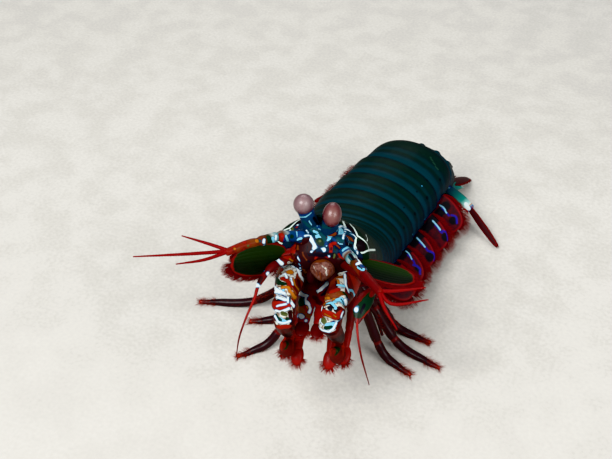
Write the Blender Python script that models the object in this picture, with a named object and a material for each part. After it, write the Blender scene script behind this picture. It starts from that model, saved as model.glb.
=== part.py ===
# Mantis shrimp, life size, in the stance of a wary animal at its burrow:
# head and claws raised, abdomen level, tail fan bent down to the ground.
# Sizes are millimetres here and become metres in one place, make_object.
# The head points to -Y, the tail to +Y, the animal's left side to +X.

import math

import bpy
import numpy as np

MM = 0.001
GAP = 0.3

# Stations along the back, in millimetres from the front edge of the carapace
CARAPACE_END = 31.0
THORAX_STEP = 5.0
THORAX_END = 51.0
ABDOMEN_STEP = 11.0
TELSON_START = 117.0
TELSON_END = 140.0

# Height of the body axis over the ground where the thorax meets the abdomen
AXIS_HEIGHT = 23.0

# Where that point of the axis lies, so that the whole is centred on the origin
AXIS_PLACE = (1.4, -7.1)

# The stance: station and angle in degrees, positive with the head end higher
PITCH = ((0, 46), (31, 46), (41, 34), (51, 18), (62, 10), (73, 5), (95, -4),
         (103, -3), (110, 38), (117, 48), (124, 30), (141, 28))
# The stance: station and turn to the animal's left in degrees
TURN = ((0, -12), (31, -12), (51, -6), (73, 6), (95, 13), (106, 11), (117, 4), (141, 0))
# Half width, height of the back over the axis and depth of the belly under it
HALF_WIDTH = ((0, 11.8), (8, 13.4), (31, 14.8), (51, 15.8), (73, 16.6), (95, 15.9),
              (106, 14.6), (117, 13.0))
BACK = ((0, 8.8), (8, 10.0), (31, 11.1), (51, 11.3), (73, 10.9), (95, 10.9), (106, 10.3),
        (117, 7.6))
BELLY = ((0, 6.5), (31, 7.0), (51, 6.5), (95, 6.0), (106, 5.5), (117, 4.0))

# The same for the head and the flesh that the carapace covers
CORE_WIDTH = ((-5.5, 3.4), (-4.5, 5.2), (-2, 7.0), (0, 7.8), (6, 9.4), (31, 12.6))
CORE_BACK = ((-5.5, 3.8), (-4.5, 5.2), (-2, 6.3), (0, 6.8), (6, 7.6), (31, 8.9))
CORE_BELLY = ((-5.5, 3.0), (-4.5, 4.6), (-2, 6.0), (0, 6.4), (31, 7.0))

# Thickness of the carapace, how far a ring flares at its rear edge and is tucked in at
# its front, and the stations and lifts of the cross sections of a ring
SHELL = 1.4
FLARE = 0.35
TUCK = 0.45
RING_PLAN = ((0.0, -TUCK), (0.22, -TUCK), (0.30, 0.0), (0.93, FLARE), (1.0, FLARE))

# The two long grooves of the carapace: depth, place as a share of the half width, width
GROOVE_DEPTH = 0.35
GROOVE_PLACE = 0.42
GROOVE_WIDTH = 0.07
GROOVE_FADE = 6.0

# Points of a cross section of the back that carry the keels of the tail
KEELS = (3, 5, 7, 9, 11)
KEEL_HEIGHT = 0.55

# Fringes: edge thickness of a fringed plate, share of its spacing that a vane fills,
# how much a vane's length varies and how far its tip is raised or lowered
RIM = 0.55
VANE_FILL = 0.66
VANE_VARIES = 0.14
VANE_LIFT = 0.22

# Finishes: colour, roughness
TEAL = ((0.010, 0.060, 0.065), 0.28)
TEAL_DARK = ((0.006, 0.035, 0.042), 0.28)
NETTED = ((0.020, 0.050, 0.060), 0.3)
BLUE = ((0.010, 0.110, 0.300), 0.35)
EYE_PINK = ((0.620, 0.260, 0.250), 0.2)
LEAF_GREEN = ((0.040, 0.130, 0.015), 0.3)
RED = ((0.420, 0.012, 0.010), 0.35)
MAROON = ((0.090, 0.010, 0.014), 0.4)
BANDED = ((0.550, 0.420, 0.330), 0.35)
MOUTH = ((0.380, 0.210, 0.160), 0.5)


def read_keys(keys, station):
    """Value at a station, straight between the keys."""
    return float(np.interp(station, [key[0] for key in keys], [key[1] for key in keys]))


def unit(vector):
    vector = np.asarray(vector, dtype=float)
    return vector / np.linalg.norm(vector)


class BodyAxis:
    """The bent axis of the animal, with the side, tailward and upward directions."""

    STEP = 0.25
    FIRST = -10.0
    LAST = 142.0

    def __init__(self):
        self.stations = np.arange(self.FIRST, self.LAST, self.STEP)
        pitch = np.radians([read_keys(PITCH, s) for s in self.stations])
        turn = np.radians([read_keys(TURN, s) for s in self.stations])
        self.tailward = np.stack(
            [np.sin(turn) * np.cos(pitch), np.cos(turn) * np.cos(pitch), -np.sin(pitch)], 1)
        self.side = np.stack([np.cos(turn), -np.sin(turn), 0 * turn], 1)
        self.upward = np.cross(self.side, self.tailward)
        steps = (self.tailward[:-1] + self.tailward[1:]) / 2 * self.STEP
        self.points = np.concatenate([[[0.0, 0.0, 0.0]], np.cumsum(steps, axis=0)])
        self.points += np.array([*AXIS_PLACE, AXIS_HEIGHT]) - self.points[self.index(THORAX_END)]

    def index(self, station):
        return int(round((station - self.FIRST) / self.STEP))

    def frame(self, station):
        """Origin, side, tailward and upward directions at a station."""
        i = self.index(station)
        return self.points[i], self.side[i], self.tailward[i], self.upward[i]

    def place(self, station, across, height):
        """Point beside and over the axis at a station."""
        origin, side, _, upward = self.frame(station)
        return origin + across * side + height * upward

    def direction(self, station, across, tailward, height):
        """Unit direction given in the axes of a station."""
        _, side, along, upward = self.frame(station)
        return unit(across * side + tailward * along + height * upward)


AXIS = BodyAxis()


def at_head(across, forward, height):
    """Point in the axes of the carapace's front edge, forward being away from the tail."""
    origin, side, tailward, upward = AXIS.frame(0.0)
    return origin + across * side - forward * tailward + height * upward


# Scene and materials

def clear_scene():
    for old in list(bpy.data.objects):
        bpy.data.objects.remove(old, do_unlink=True)


def make_material(name, finish):
    colour, roughness = finish
    material = bpy.data.materials.new(name)
    material.use_nodes = True
    shader = material.node_tree.nodes["Principled BSDF"]
    shader.inputs["Base Color"].default_value = (*colour, 1.0)
    shader.inputs["Roughness"].default_value = roughness
    shader.inputs["Metallic"].default_value = 0.0
    return material


def make_object(name, shape, finish=None):
    """Object from a shape, which is a pair of points in millimetres and faces."""
    points, faces = shape
    mesh = bpy.data.meshes.new(name)
    mesh.from_pydata([tuple(point) for point in np.asarray(points) * MM], [], faces)
    mesh.validate()
    piece = bpy.data.objects.new(name, mesh)
    bpy.context.scene.collection.objects.link(piece)
    if finish is not None:
        mesh.materials.append(make_material(name + "_finish", finish))
        mesh.shade_smooth()
        mesh.set_sharp_from_angle(angle=math.radians(40))
    return piece


# Shapes

def join_rings(rings, hollow=False):
    """Closed skin over rings of equal count; a hollow one is a bent strip at its ends."""
    count = len(rings[0])
    points = [point for ring in rings for point in ring]
    faces = []
    for r in range(len(rings) - 1):
        low = r * count
        high = low + count
        for i in range(count):
            j = (i + 1) % count
            faces.append((low + i, low + j, high + j))
            faces.append((low + i, high + j, high + i))
    first = len(points)
    top = (len(rings) - 1) * count
    if hollow:
        for i in range(count // 2 - 1):
            j = count - 1 - i
            faces.append((i, j, i + 1))
            faces.append((i + 1, j, j - 1))
            faces.append((top + i, top + i + 1, top + j))
            faces.append((top + i + 1, top + j - 1, top + j))
        return face_out(np.array(points), faces)
    points.append(np.mean(rings[0], axis=0))
    points.append(np.mean(rings[-1], axis=0))
    for i in range(count):
        j = (i + 1) % count
        faces.append((first, j, i))
        faces.append((first + 1, top + i, top + j))
    return face_out(np.array(points), faces)


def face_out(points, faces):
    """The same closed shape with its faces turned outward."""
    corners = points[np.array(faces)]
    volume = np.einsum("ij,ij->i", corners[:, 0], np.cross(corners[:, 1], corners[:, 2])).sum()
    if volume < 0:
        faces = [tuple(reversed(face)) for face in faces]
    return points, faces


def smooth_path(points, count):
    """Even points on a smooth curve through the given ones."""
    points = np.asarray(points, dtype=float)
    knots = np.concatenate([[0.0], np.cumsum(np.linalg.norm(np.diff(points, axis=0), axis=1))])
    before = 2 * points[0] - points[1]
    after = 2 * points[-1] - points[-2]
    padded = np.concatenate([[before], points, [after]])
    result = []
    for where in np.linspace(0.0, knots[-1], count):
        i = min(int(np.searchsorted(knots, where, side="right")) - 1, len(points) - 2)
        u = (where - knots[i]) / (knots[i + 1] - knots[i])
        a, b, c, d = padded[i:i + 4]
        result.append(0.5 * (2 * b + (c - a) * u + (2 * a - 5 * b + 4 * c - d) * u ** 2
                             + (3 * b - a - 3 * c + d) * u ** 3))
    return np.array(result)


def tube(route, radii, sides=8, count=8, flat=1.0, lay=(0, 0, 1), grow=0.0):
    """Tapered limb along a route; flat below 1 thins it along the lay direction."""
    path = smooth_path(route, count)
    along = np.gradient(path, axis=0)
    along /= np.linalg.norm(along, axis=1)[:, None]
    path[0] -= along[0] * grow
    path[-1] += along[-1] * grow
    sizes = np.interp(np.linspace(0, 1, count), np.linspace(0, 1, len(radii)), radii) + grow
    across = unit(np.cross(along[0], lay))
    rings = []
    for point, direction, size in zip(path, along, sizes):
        across = unit(across - direction * np.dot(across, direction))
        over = np.cross(direction, across)
        turns = 2 * math.pi * np.arange(sides) / sides
        rings.append(point + size * np.cos(turns)[:, None] * across
                     + size * flat * np.sin(turns)[:, None] * over)
    return join_rings(rings)


def blob(centre, axes, sizes, rows=8, sides=12):
    """Ellipsoid with three given axes and half sizes, poles on the third axis."""
    axes = [unit(axis) for axis in axes]
    rings = []
    for row in range(1, rows):
        tilt = math.pi * row / rows
        turns = 2 * math.pi * np.arange(sides) / sides
        rings.append(np.asarray(centre)
                     + sizes[0] * math.sin(tilt) * np.cos(turns)[:, None] * axes[0]
                     + sizes[1] * math.sin(tilt) * np.sin(turns)[:, None] * axes[1]
                     + sizes[2] * math.cos(tilt) * axes[2])
    points, faces = join_rings(rings)
    points[-2] = np.asarray(centre) + sizes[2] * axes[2]
    points[-1] = np.asarray(centre) - sizes[2] * axes[2]
    return points, faces


def leaf(root, along, wide, length, half_width, thick, steps, blunt, columns=5):
    """Thin oval plate from its narrow root, as thick everywhere, crowned across."""
    along = unit(along)
    wide = unit(np.asarray(wide) - along * np.dot(wide, along))
    normal = np.cross(along, wide)
    cross = np.linspace(-1.0, 1.0, columns)
    rings = []
    for step in range(steps + 1):
        u = step / steps
        spread = half_width * math.sin(math.pi * (0.04 + 0.92 * u)) ** blunt
        middle = np.asarray(root) + along * length * u
        crown = thick * 0.5 * (1 - cross ** 2)[:, None] * normal
        upper = middle + spread * cross[:, None] * wide + crown + thick / 2 * normal
        lower = middle + spread * cross[::-1, None] * wide + crown[::-1] - thick / 2 * normal
        rings.append(np.concatenate([upper, lower]))
    return join_rings(rings)


def pointed(rings, apex):
    """Closed skin over rings of equal count that ends in a point."""
    count = len(rings[0])
    points = np.concatenate([*rings, [apex]])
    faces = [(0, i + 1, i) for i in range(1, count - 1)]
    for r in range(len(rings) - 1):
        low = r * count
        for i in range(count):
            j = (i + 1) % count
            faces.append((low + i, low + j, low + count + j))
            faces.append((low + i, low + count + j, low + count + i))
    last = (len(rings) - 1) * count
    for i in range(count):
        faces.append((last + i, last + (i + 1) % count, len(points) - 1))
    return face_out(points, faces)


def spine(root, heading, length, radius, sides=3, sunk=0.6, bend=(0, 0, 0)):
    """Tapered spine or bristle, its root sunk in what it grows from, its tip bent."""
    heading = unit(heading)
    across = unit(np.cross(heading, (0.31, 0.17, 0.93)))
    over = np.cross(heading, across)
    turns = 2 * math.pi * np.arange(sides) / sides
    circle = np.cos(turns)[:, None] * across + np.sin(turns)[:, None] * over
    root = np.asarray(root, dtype=float)
    bend = np.asarray(bend, dtype=float) * length
    middle = root + heading * length * 0.5 + bend * 0.25
    return pointed([root - heading * sunk + radius * circle, middle + radius * 0.62 * circle],
                   root + heading * length + bend)


def fringed_leaf(root, along, wide, length, half_width, thick, vanes, reach, seed,
                 bare=0.16, bow=0.0, blunt=0.75):
    """Thin oval plate with tapered vanes round its edge, longer on one side if asked.

    The edge is an oval from the root round the tip and back, bare near the root. Each vane
    has two points on the edge and one tip, which leans towards the plate's own tip. Both
    faces are split alike, from the edge to points along the plate's midline.
    """
    draw = np.random.default_rng(seed)
    along = unit(along)
    wide = unit(np.asarray(wide) - along * np.dot(wide, along))
    normal = np.cross(along, wide)
    root = np.asarray(root, dtype=float)
    spacing = 2 * math.pi * (1 - bare) / vanes
    centres = math.pi * bare + spacing * (np.arange(vanes) + 0.5)
    turns = (centres[:, None] + spacing * VANE_FILL / 2 * np.array([-1, 1])).ravel()

    def on_plate(share, across):
        lift = bow * (4 * share * (1 - share) + 0.5 * (1 - (across / half_width) ** 2))
        return (root + along * (length * share)[:, None] + wide * across[:, None]
                + normal * lift[:, None])

    def oval(turn):
        across = half_width * np.sign(np.sin(turn)) * np.abs(np.sin(turn)) ** blunt
        return (1 - np.cos(turn)) / 2, across

    share, across = oval(turns)
    edge = on_plate(share, across)
    mid_share, mid_across = oval(centres)
    middle = on_plate(mid_share, mid_across)
    behind = on_plate(np.clip(mid_share - 0.30, 0.0, 1.0), mid_across * 0.25)
    heading = middle - behind
    heading /= np.linalg.norm(heading, axis=1)[:, None]
    sides = np.where(np.sin(centres) > 0, reach[0], reach[1])
    lengths = sides * (1 + VANE_VARIES * draw.uniform(-1, 1, vanes))
    tips = middle + heading * lengths[:, None]
    tips = tips + normal * (VANE_LIFT * (-1.0) ** np.arange(vanes))[:, None]
    core_share = np.array([0.2, 0.5, 0.8])
    core = on_plate(core_share, 0 * core_share)
    points = np.concatenate([edge + normal * RIM / 2, edge - normal * RIM / 2,
                             core + normal * thick / 2, core - normal * thick / 2, tips])
    count = len(edge)
    near = [int(np.argmin(np.abs(core_share - value))) for value in share]
    tip_row = 2 * count + 2 * len(core)
    faces = []
    for i in range(count):
        j = (i + 1) % count
        for top, row in ((0, 2 * count), (count, 2 * count + len(core))):
            flat = [(top + i, top + j, row + near[i])]
            if near[i] != near[j]:
                flat.append((top + j, row + near[j], row + near[i]))
            faces += flat if top == 0 else [tuple(reversed(face)) for face in flat]
        if i % 2 == 0:
            tip = tip_row + i // 2
            faces += [(j, i, tip), (count + i, count + j, tip), (i, count + i, tip),
                      (count + j, j, tip)]
        else:
            faces += [(i, count + i, count + j), (i, count + j, j)]
    return face_out(points, faces)


def arch_ring(station, wide, back, belly, spread=0.0, push=0.0, keel=0.0):
    """Closed cross section of the body: arched back, rounded side plates, flat belly."""
    origin, side, tailward, upward = AXIS.frame(station)
    turns = np.radians(np.linspace(0, 180, 15))
    across = (wide + spread) * np.cos(turns)
    height = (back + spread) * np.sin(turns) ** 0.85
    height[list(KEELS)] += keel
    low_across = np.array([-0.985, -0.88, -0.56, 0.0, 0.56, 0.88, 0.985])
    low_height = np.array([-0.38, -0.62, -0.96, -1.0, -0.96, -0.62, -0.38])
    across = np.concatenate([across, low_across * (wide + spread)])
    height = np.concatenate([height, low_height * (belly + spread)])
    return origin + push * tailward + across[:, None] * side + height[:, None] * upward


def body_ring(station, spread=0.0, push=0.0, keel=0.0):
    wide = read_keys(HALF_WIDTH, station)
    back = read_keys(BACK, station)
    belly = read_keys(BELLY, station)
    return arch_ring(station, wide, back, belly, spread, push, keel)


def segment_shape(start, end, grow=0.0, keel=0.0):
    """One ring of the armour, tucked in at its front and flared at its rear edge."""
    length = end - start
    rings = []
    for share, lift in RING_PLAN:
        push = 0.0
        if share == 0.0:
            push = GAP / 2 - grow
        if share == 1.0:
            push = grow - GAP / 2
        station = start + share * length
        rings.append(body_ring(station, lift + grow, push, keel if lift >= 0 else 0.0))
    return join_rings(rings)


def core_ring(station, spread=0.0, push=0.0):
    """Cross section of the flesh under the carapace and of the head before it."""
    return arch_ring(station, read_keys(CORE_WIDTH, station), read_keys(CORE_BACK, station),
                     read_keys(CORE_BELLY, station), spread, push)


def core_shape(grow=0.0):
    stations = (-5.5, -4.5, -2.0, 0.0, 6.0, 31.0)
    rings = []
    for station in stations:
        push = 0.0
        if station == stations[0]:
            push = -grow
        if station == stations[-1]:
            push = grow - GAP / 2
        rings.append(core_ring(station, grow, push))
    return join_rings(rings)


def carapace_shape():
    """Shield over the core, open below, with two long grooves and net-marked sides."""
    stations = (0.0, 2.0, 5.0, 9.0, 20.0, 31.0)
    turns = np.radians(np.linspace(-14, 194, 19))
    rings = []
    for station in stations:
        origin, side, tailward, upward = AXIS.frame(station)
        wide = read_keys(HALF_WIDTH, station)
        back = read_keys(BACK, station)
        if station == stations[-1]:
            origin = origin - tailward * GAP / 2
        groove = GROOVE_DEPTH * np.exp(-((np.abs(np.cos(turns)) - GROOVE_PLACE)
                                         / GROOVE_WIDTH) ** 2)
        groove *= min(1.0, station / GROOVE_FADE)
        rise = np.sign(np.sin(turns)) * np.abs(np.sin(turns)) ** 0.85
        outer = (origin + ((wide - groove) * np.cos(turns))[:, None] * side
                 + ((back - groove) * rise)[:, None] * upward)
        inner = (origin + ((wide - SHELL) * np.cos(turns))[:, None] * side
                 + ((back - SHELL) * rise)[:, None] * upward)
        rings.append(np.concatenate([outer, inner[::-1]]))
    return join_rings(rings, hollow=True)


def carapace_block(grow):
    """Solid that fills the carapace to a gap outside it, to cut its neighbours clear."""
    turns = np.radians(np.linspace(-14, 194, 19))
    rings = []
    for station in (0.0, 9.0, 31.0):
        origin, side, tailward, upward = AXIS.frame(station)
        push = -grow if station == 0.0 else grow
        wide = read_keys(HALF_WIDTH, station) + grow
        back = read_keys(BACK, station) + grow
        rise = np.sign(np.sin(turns)) * np.abs(np.sin(turns)) ** 0.85
        rings.append(origin + push * tailward + (wide * np.cos(turns))[:, None] * side
                     + (back * rise)[:, None] * upward)
    return join_rings(rings)


# Fusing and cutting

def apply_boolean(piece, operation, others, solver="EXACT"):
    """Boolean of a piece with a collection of closed meshes, applied, others removed."""
    group = bpy.data.collections.new("group")
    bpy.context.scene.collection.children.link(group)
    for other in others:
        group.objects.link(other)
    modifier = piece.modifiers.new("join", "BOOLEAN")
    modifier.operation = operation
    modifier.operand_type = "COLLECTION"
    modifier.collection = group
    modifier.solver = solver
    bpy.context.view_layer.update()
    result = bpy.data.meshes.new_from_object(piece.evaluated_get(
        bpy.context.evaluated_depsgraph_get()))
    piece.modifiers.clear()
    piece.data = result
    for other in others:
        bpy.data.objects.remove(other, do_unlink=True)
    bpy.data.collections.remove(group)


def keep_largest(piece):
    """Keep only the closed surface that encloses the most."""
    mesh = piece.data
    count = len(mesh.vertices)
    points = np.empty(count * 3)
    mesh.vertices.foreach_get("co", points)
    points = points.reshape(-1, 3)
    owner = list(range(count))

    def find(i):
        while owner[i] != i:
            owner[i] = owner[owner[i]]
            i = owner[i]
        return i

    for edge in mesh.edges:
        a, b = find(edge.vertices[0]), find(edge.vertices[1])
        owner[a] = b
    volumes = {}
    mesh.calc_loop_triangles()
    for triangle in mesh.loop_triangles:
        a, b, c = (points[i] for i in triangle.vertices)
        key = find(triangle.vertices[0])
        volumes[key] = volumes.get(key, 0.0) + float(np.dot(a, np.cross(b, c)))
    best = max(volumes, key=volumes.get)
    keep = [i for i in range(count) if find(i) == best]
    place = {old: new for new, old in enumerate(keep)}
    faces = [tuple(place[i] for i in face.vertices) for face in mesh.polygons
             if find(face.vertices[0]) == best]
    if len(keep) == count:
        return
    cleaned = bpy.data.meshes.new(mesh.name)
    cleaned.from_pydata([tuple(points[i]) for i in keep], [], faces)
    for material in mesh.materials:
        cleaned.materials.append(material)
    piece.data = cleaned


def build_node(name, finish, shapes, cutters=()):
    """Named node: its shapes fused into one, then cut clear of its neighbours."""
    piece = make_object(name, shapes[0], finish)
    if len(shapes) > 1:
        others = [make_object("join_piece", shape) for shape in shapes[1:]]
        apply_boolean(piece, "UNION", others)
    if cutters:
        others = [make_object("cut_piece", shape) for shape in cutters]
        apply_boolean(piece, "DIFFERENCE", others)
    keep_largest(piece)
    piece.data.shade_smooth()
    piece.data.set_sharp_from_angle(angle=math.radians(40))
    return piece


def ground_block():
    """Block under the ground, which cuts the small flats that the animal rests on."""
    low = np.array([(-90, -90, -20), (90, -90, -20), (90, 90, -20), (-90, 90, -20)], float)
    return join_rings([low, low + (0, 0, 20)])


# Trunk

def thorax_span(number):
    start = CARAPACE_END + THORAX_STEP * (number - 5)
    return start, start + THORAX_STEP


def abdomen_span(number):
    start = THORAX_END + ABDOMEN_STEP * (number - 1)
    return start, start + ABDOMEN_STEP


# Telson: share of its length, half width, height of its back, depth of its belly
TELSON_PLAN = ((0.0, 10.5, 5.2, 3.0), (0.12, 11.0, 5.4, 2.8), (0.45, 11.2, 4.6, 2.0),
               (0.75, 9.2, 3.2, 1.3), (1.0, 5.2, 1.6, 0.9))

# Teeth of the telson: station, across, height, length, radius, outward lean
TELSON_TEETH = ((139.4, 3.0, 0.6, 3.0, 0.75, 0.05), (134.2, 8.2, 1.0, 2.6, 0.7, 0.25),
                (128.0, 10.4, 1.2, 2.2, 0.6, 0.35))
TOOTH_RISE = 0.04
REAR_SPINE_LENGTH = 1.9
REAR_SPINE_RADIUS = 0.45


def telson_shape(grow=0.0):
    """Broad tail plate, thick at its root and thin at its toothed end."""
    rings = []
    for share, wide, back, belly in TELSON_PLAN:
        push = GAP / 2 - grow if share == 0.0 else 0.0
        station = TELSON_START + share * (TELSON_END - TELSON_START)
        rings.append(arch_ring(station, wide, back, belly, grow, push, KEEL_HEIGHT))
    return join_rings(rings)


def telson_teeth():
    """Three pairs of teeth round the rear edge, level so that they clear the ground."""
    teeth = []
    for station, across, height, length, radius, outward in TELSON_TEETH:
        _, side, tailward, _ = AXIS.frame(station)
        for sign in (-1, 1):
            heading = tailward * (1, 1, 0) + sign * outward * side + (0, 0, TOOTH_RISE)
            root = AXIS.place(station, sign * across, height)
            teeth.append(spine(root, heading, length, radius, sunk=1.0))
    return teeth


def rear_spines():
    """A spine on each keel at the rear edge of the last abdomen ring."""
    station = abdomen_span(6)[1]
    edge = body_ring(station, FLARE, keel=KEEL_HEIGHT)
    _, _, tailward, upward = AXIS.frame(station)
    spines = []
    for column in KEELS:
        if column != len(KEELS) + 2:
            root = edge[column] - upward * REAR_SPINE_RADIUS - tailward * 0.4
            spines.append(spine(root, tailward, REAR_SPINE_LENGTH, REAR_SPINE_RADIUS))
    return spines


def build_trunk():
    raptorials = [merus_shape(sign, GAP) for sign in (-1, 1)]
    build_node("head", BLUE, [core_shape()], raptorials + [labrum_shape(GAP)])
    build_node("labrum", MOUTH, [labrum_shape()])
    build_node("carapace", NETTED, [carapace_shape()])
    build_node("rostral_plate", TEAL, [rostrum_shape()],
               [core_shape(GAP)] + [stalk_shape(name, GAP) for name in EYES])
    for number in range(5, 9):
        build_node(f"thorax_{number}", TEAL_DARK, [segment_shape(*thorax_span(number))])
    for number in range(1, 6):
        build_node(f"abdomen_{number}", TEAL, [segment_shape(*abdomen_span(number))])
    last_ring = segment_shape(*abdomen_span(6), keel=KEEL_HEIGHT)
    build_node("abdomen_6", TEAL, [last_ring] + rear_spines())
    build_node("telson", TEAL, [telson_shape()] + telson_teeth(), [ground_block()])


LABRUM_PLACE = (1.4, 4.6, -4.9)
LABRUM_SIZE = (3.1, 2.6, 2.7)
ROSTRUM_HEIGHT = 8.1
ROSTRUM_LENGTH = 4.6
ROSTRUM_HALF_WIDTH = 3.6
ROSTRUM_THICK = 0.9


def labrum_shape(grow=0.0):
    _, side, tailward, upward = AXIS.frame(0.0)
    return blob(at_head(*LABRUM_PLACE), (side, tailward, upward), np.array(LABRUM_SIZE) + grow)


def rostrum_shape():
    """Small pointed plate ahead of the carapace, over the roots of the eye stalks."""
    _, side, tailward, _ = AXIS.frame(0.0)
    root = at_head(0.0, GAP, ROSTRUM_HEIGHT)
    return leaf(root, -tailward, side, ROSTRUM_LENGTH, ROSTRUM_HALF_WIDTH, ROSTRUM_THICK,
                steps=5, blunt=0.35)


# Eyes, feelers and scales. Places are across, forward and up from the middle of the
# carapace's front edge, and sizes are half sizes in the same order

EYES = {"left": (2.6, 9.0, 8.6), "right": (-4.7, 9.0, 10.4)}
EYE_SIZE = {"left": (2.15, 2.5, 2.85), "right": (2.3, 2.9, 2.35)}
STALK_ROOT = {"left": (1.6, 2.6, 4.4), "right": (-2.4, 2.6, 4.6)}
STALK_RADII = (1.6, 1.6, 1.9)


def eye_shape(name, grow=0.0):
    _, side, tailward, upward = AXIS.frame(0.0)
    return blob(at_head(*EYES[name]), (side, tailward, upward),
                np.array(EYE_SIZE[name]) + grow, rows=8, sides=12)


def stalk_shape(name, grow=0.0):
    root = at_head(*STALK_ROOT[name])
    tip = at_head(*EYES[name])
    middle = (root + tip) / 2
    return tube([root, middle, tip], STALK_RADII, sides=8, count=4, grow=grow)


def build_eyes():
    for name in EYES:
        build_node(f"eye_stalk_{name}", BLUE, [stalk_shape(name)],
                   [core_shape(GAP), eye_shape(name, GAP)])
        build_node(f"eye_{name}", EYE_PINK, [eye_shape(name)])


ANTENNULE = {
    "right": ((-4.9, 2.5, 3.0), (-9.5, 8.0, 2.0), (-13.3, 12.4, 0.0), (-16.6, 14.8, -1.6),
              (-20.3, 17.0, -4.0)),
    "left": ((5.2, 2.5, 1.4), (8.6, 7.0, -1.6), (12.0, 11.0, -4.8), (14.6, 13.6, -7.2),
             (16.6, 15.2, -9.0)),
}
ANTENNULE_WHIPS = {
    "right": (((-28.0, 22.6, -5.8), (-39.3, 28.0, -8.2)), ((-24.6, 20.6, -6.6), (-30.0, 25.0, -8.6)),
              ((-24.8, 17.4, -2.6), (-31.0, 20.0, -1.6))),
    "left": (((20.0, 17.2, -11.4), (27.8, 20.0, -9.5)), ((20.4, 15.6, -8.2), (27.0, 15.0, -6.6)),
             ((18.2, 18.2, -12.6), (21.6, 20.4, -17.0))),
}
ANTENNA = {
    "right": ((-6.6, 3.0, -2.6), (-10.4, 8.2, -5.6), (-12.6, 11.2, -10.0), (-13.2, 12.6, -14.2),
              (-14.4, 13.6, -19.0), (-15.4, 13.4, -23.7), (-15.8, 12.0, -28.3)),
    "left": ((6.6, 3.0, -2.6), (11.4, 8.0, -5.4), (14.8, 11.0, -8.4), (12.8, 14.2, -12.5),
             (12.2, 15.6, -16.6), (13.7, 15.6, -23.2), (16.5, 12.0, -30.7)),
}
STEM_RADII = (1.35, 1.3, 1.15, 1.05, 0.95)
WHIP_RADII = (0.5, 0.38, 0.2)
ANTENNA_RADII = (1.3, 1.15, 0.9, 0.55, 0.42, 0.34, 0.22)
SCALE_STALK_RADII = (1.3, 1.2)
SCALE_LENGTH = 16.0
SCALE_HALF_WIDTH = 4.5
SCALE_THICK = 0.9
SCALE_VANES = 22
SCALE_FRINGE = (2.6, 1.0)
SCALE_STALK = {"right": ((-5.8, 1.4, -0.8), (-9.4, 3.8, -2.4)),
               "left": ((5.8, 1.8, -0.8), (9.6, 1.8, -2.2))}
SCALE_ALONG = {"right": (-0.69, 0.68, -0.24), "left": (0.97, -0.20, -0.12)}
SCALE_LOWER = {"right": (0.0, -0.55, -0.83), "left": (0.0, 0.80, -0.60)}


def in_head_axes(across, forward, height):
    """Direction in the axes of the carapace's front edge."""
    _, side, tailward, upward = AXIS.frame(0.0)
    return across * side - forward * tailward + height * upward


def stem_shape(name, grow=0.0):
    stem = [at_head(*point) for point in ANTENNULE[name]]
    return tube(stem, STEM_RADII, sides=8, count=8, grow=grow)


def antennule_shapes(name):
    stem = [at_head(*point) for point in ANTENNULE[name]]
    shapes = [stem_shape(name)]
    for whip in ANTENNULE_WHIPS[name]:
        route = [stem[-1] + (stem[-2] - stem[-1]) * 0.15] + [at_head(*point) for point in whip]
        shapes.append(tube(route, WHIP_RADII, sides=4, count=7))
    return shapes


def antenna_shape(name, grow=0.0):
    route = [at_head(*point) for point in ANTENNA[name]]
    return tube(route, ANTENNA_RADII, sides=6, count=14, grow=grow)


def scale_shapes(name):
    root, hinge = (at_head(*point) for point in SCALE_STALK[name])
    along = in_head_axes(*SCALE_ALONG[name])
    stalk = tube([root, hinge], SCALE_STALK_RADII, sides=7, count=3)
    plate = fringed_leaf(hinge - along, along, in_head_axes(*SCALE_LOWER[name]), SCALE_LENGTH,
                         SCALE_HALF_WIDTH, SCALE_THICK, SCALE_VANES, SCALE_FRINGE, seed=1,
                         bow=0.5)
    return [stalk, plate]


def build_feelers():
    for name in ANTENNULE:
        build_node(f"antennule_{name}", BANDED, antennule_shapes(name), [core_shape(GAP)])
        sign = 1 if name == "left" else -1
        build_node(f"antenna_{name}", RED, [antenna_shape(name)],
                   [core_shape(GAP), merus_shape(sign, GAP)])
        build_node(f"antennal_scale_{name}", LEAF_GREEN, scale_shapes(name),
                   [core_shape(GAP), carapace_block(GAP), antenna_shape(name, GAP),
                    stem_shape(name, GAP)])


# Raptorial claws, folded: merus forward, propodus back under it, dactyl under that

MERUS = ((7.4, -8.0, -2.8), (7.0, 0.0, -7.2), (6.2, 9.4, -12.2))
MERUS_RADII = (2.6, 3.9, 3.7, 3.0)
CARPUS = (6.0, 12.0, -14.6)
CARPUS_SIZE = (2.7, 2.2, 2.3)
PROPODUS = ((5.9, 11.4, -18.2), (6.2, 3.0, -19.6), (6.5, -8.2, -21.2))
PROPODUS_RADII = (1.9, 2.5, 2.4, 2.2, 1.6)

# The dactyl starts with its swollen heel and ends in its point
DACTYL = ((6.5, -10.6, -22.2), (6.6, -9.0, -25.4), (6.4, -2.0, -25.0), (6.1, 6.6, -23.8))
DACTYL_RADII = (1.2, 2.3, 1.5, 1.0, 0.3)


def claw_point(sign, point):
    return at_head(sign * point[0], point[1], point[2])


def merus_shape(sign, grow=0.0):
    route = [claw_point(sign, point) for point in MERUS]
    return tube(route, MERUS_RADII, sides=10, count=7, flat=0.92, grow=grow)


def carpus_shape(sign, grow=0.0):
    _, side, tailward, upward = AXIS.frame(0.0)
    return blob(claw_point(sign, CARPUS), (side, tailward, upward),
                np.array(CARPUS_SIZE) + grow, rows=7, sides=12)


def propodus_shape(sign, grow=0.0):
    route = [claw_point(sign, point) for point in PROPODUS]
    return tube(route, PROPODUS_RADII, sides=10, count=8, flat=0.85, grow=grow)


def dactyl_shape(sign):
    route = [claw_point(sign, point) for point in DACTYL]
    return tube(route, DACTYL_RADII, sides=9, count=9, flat=0.9)


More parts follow.
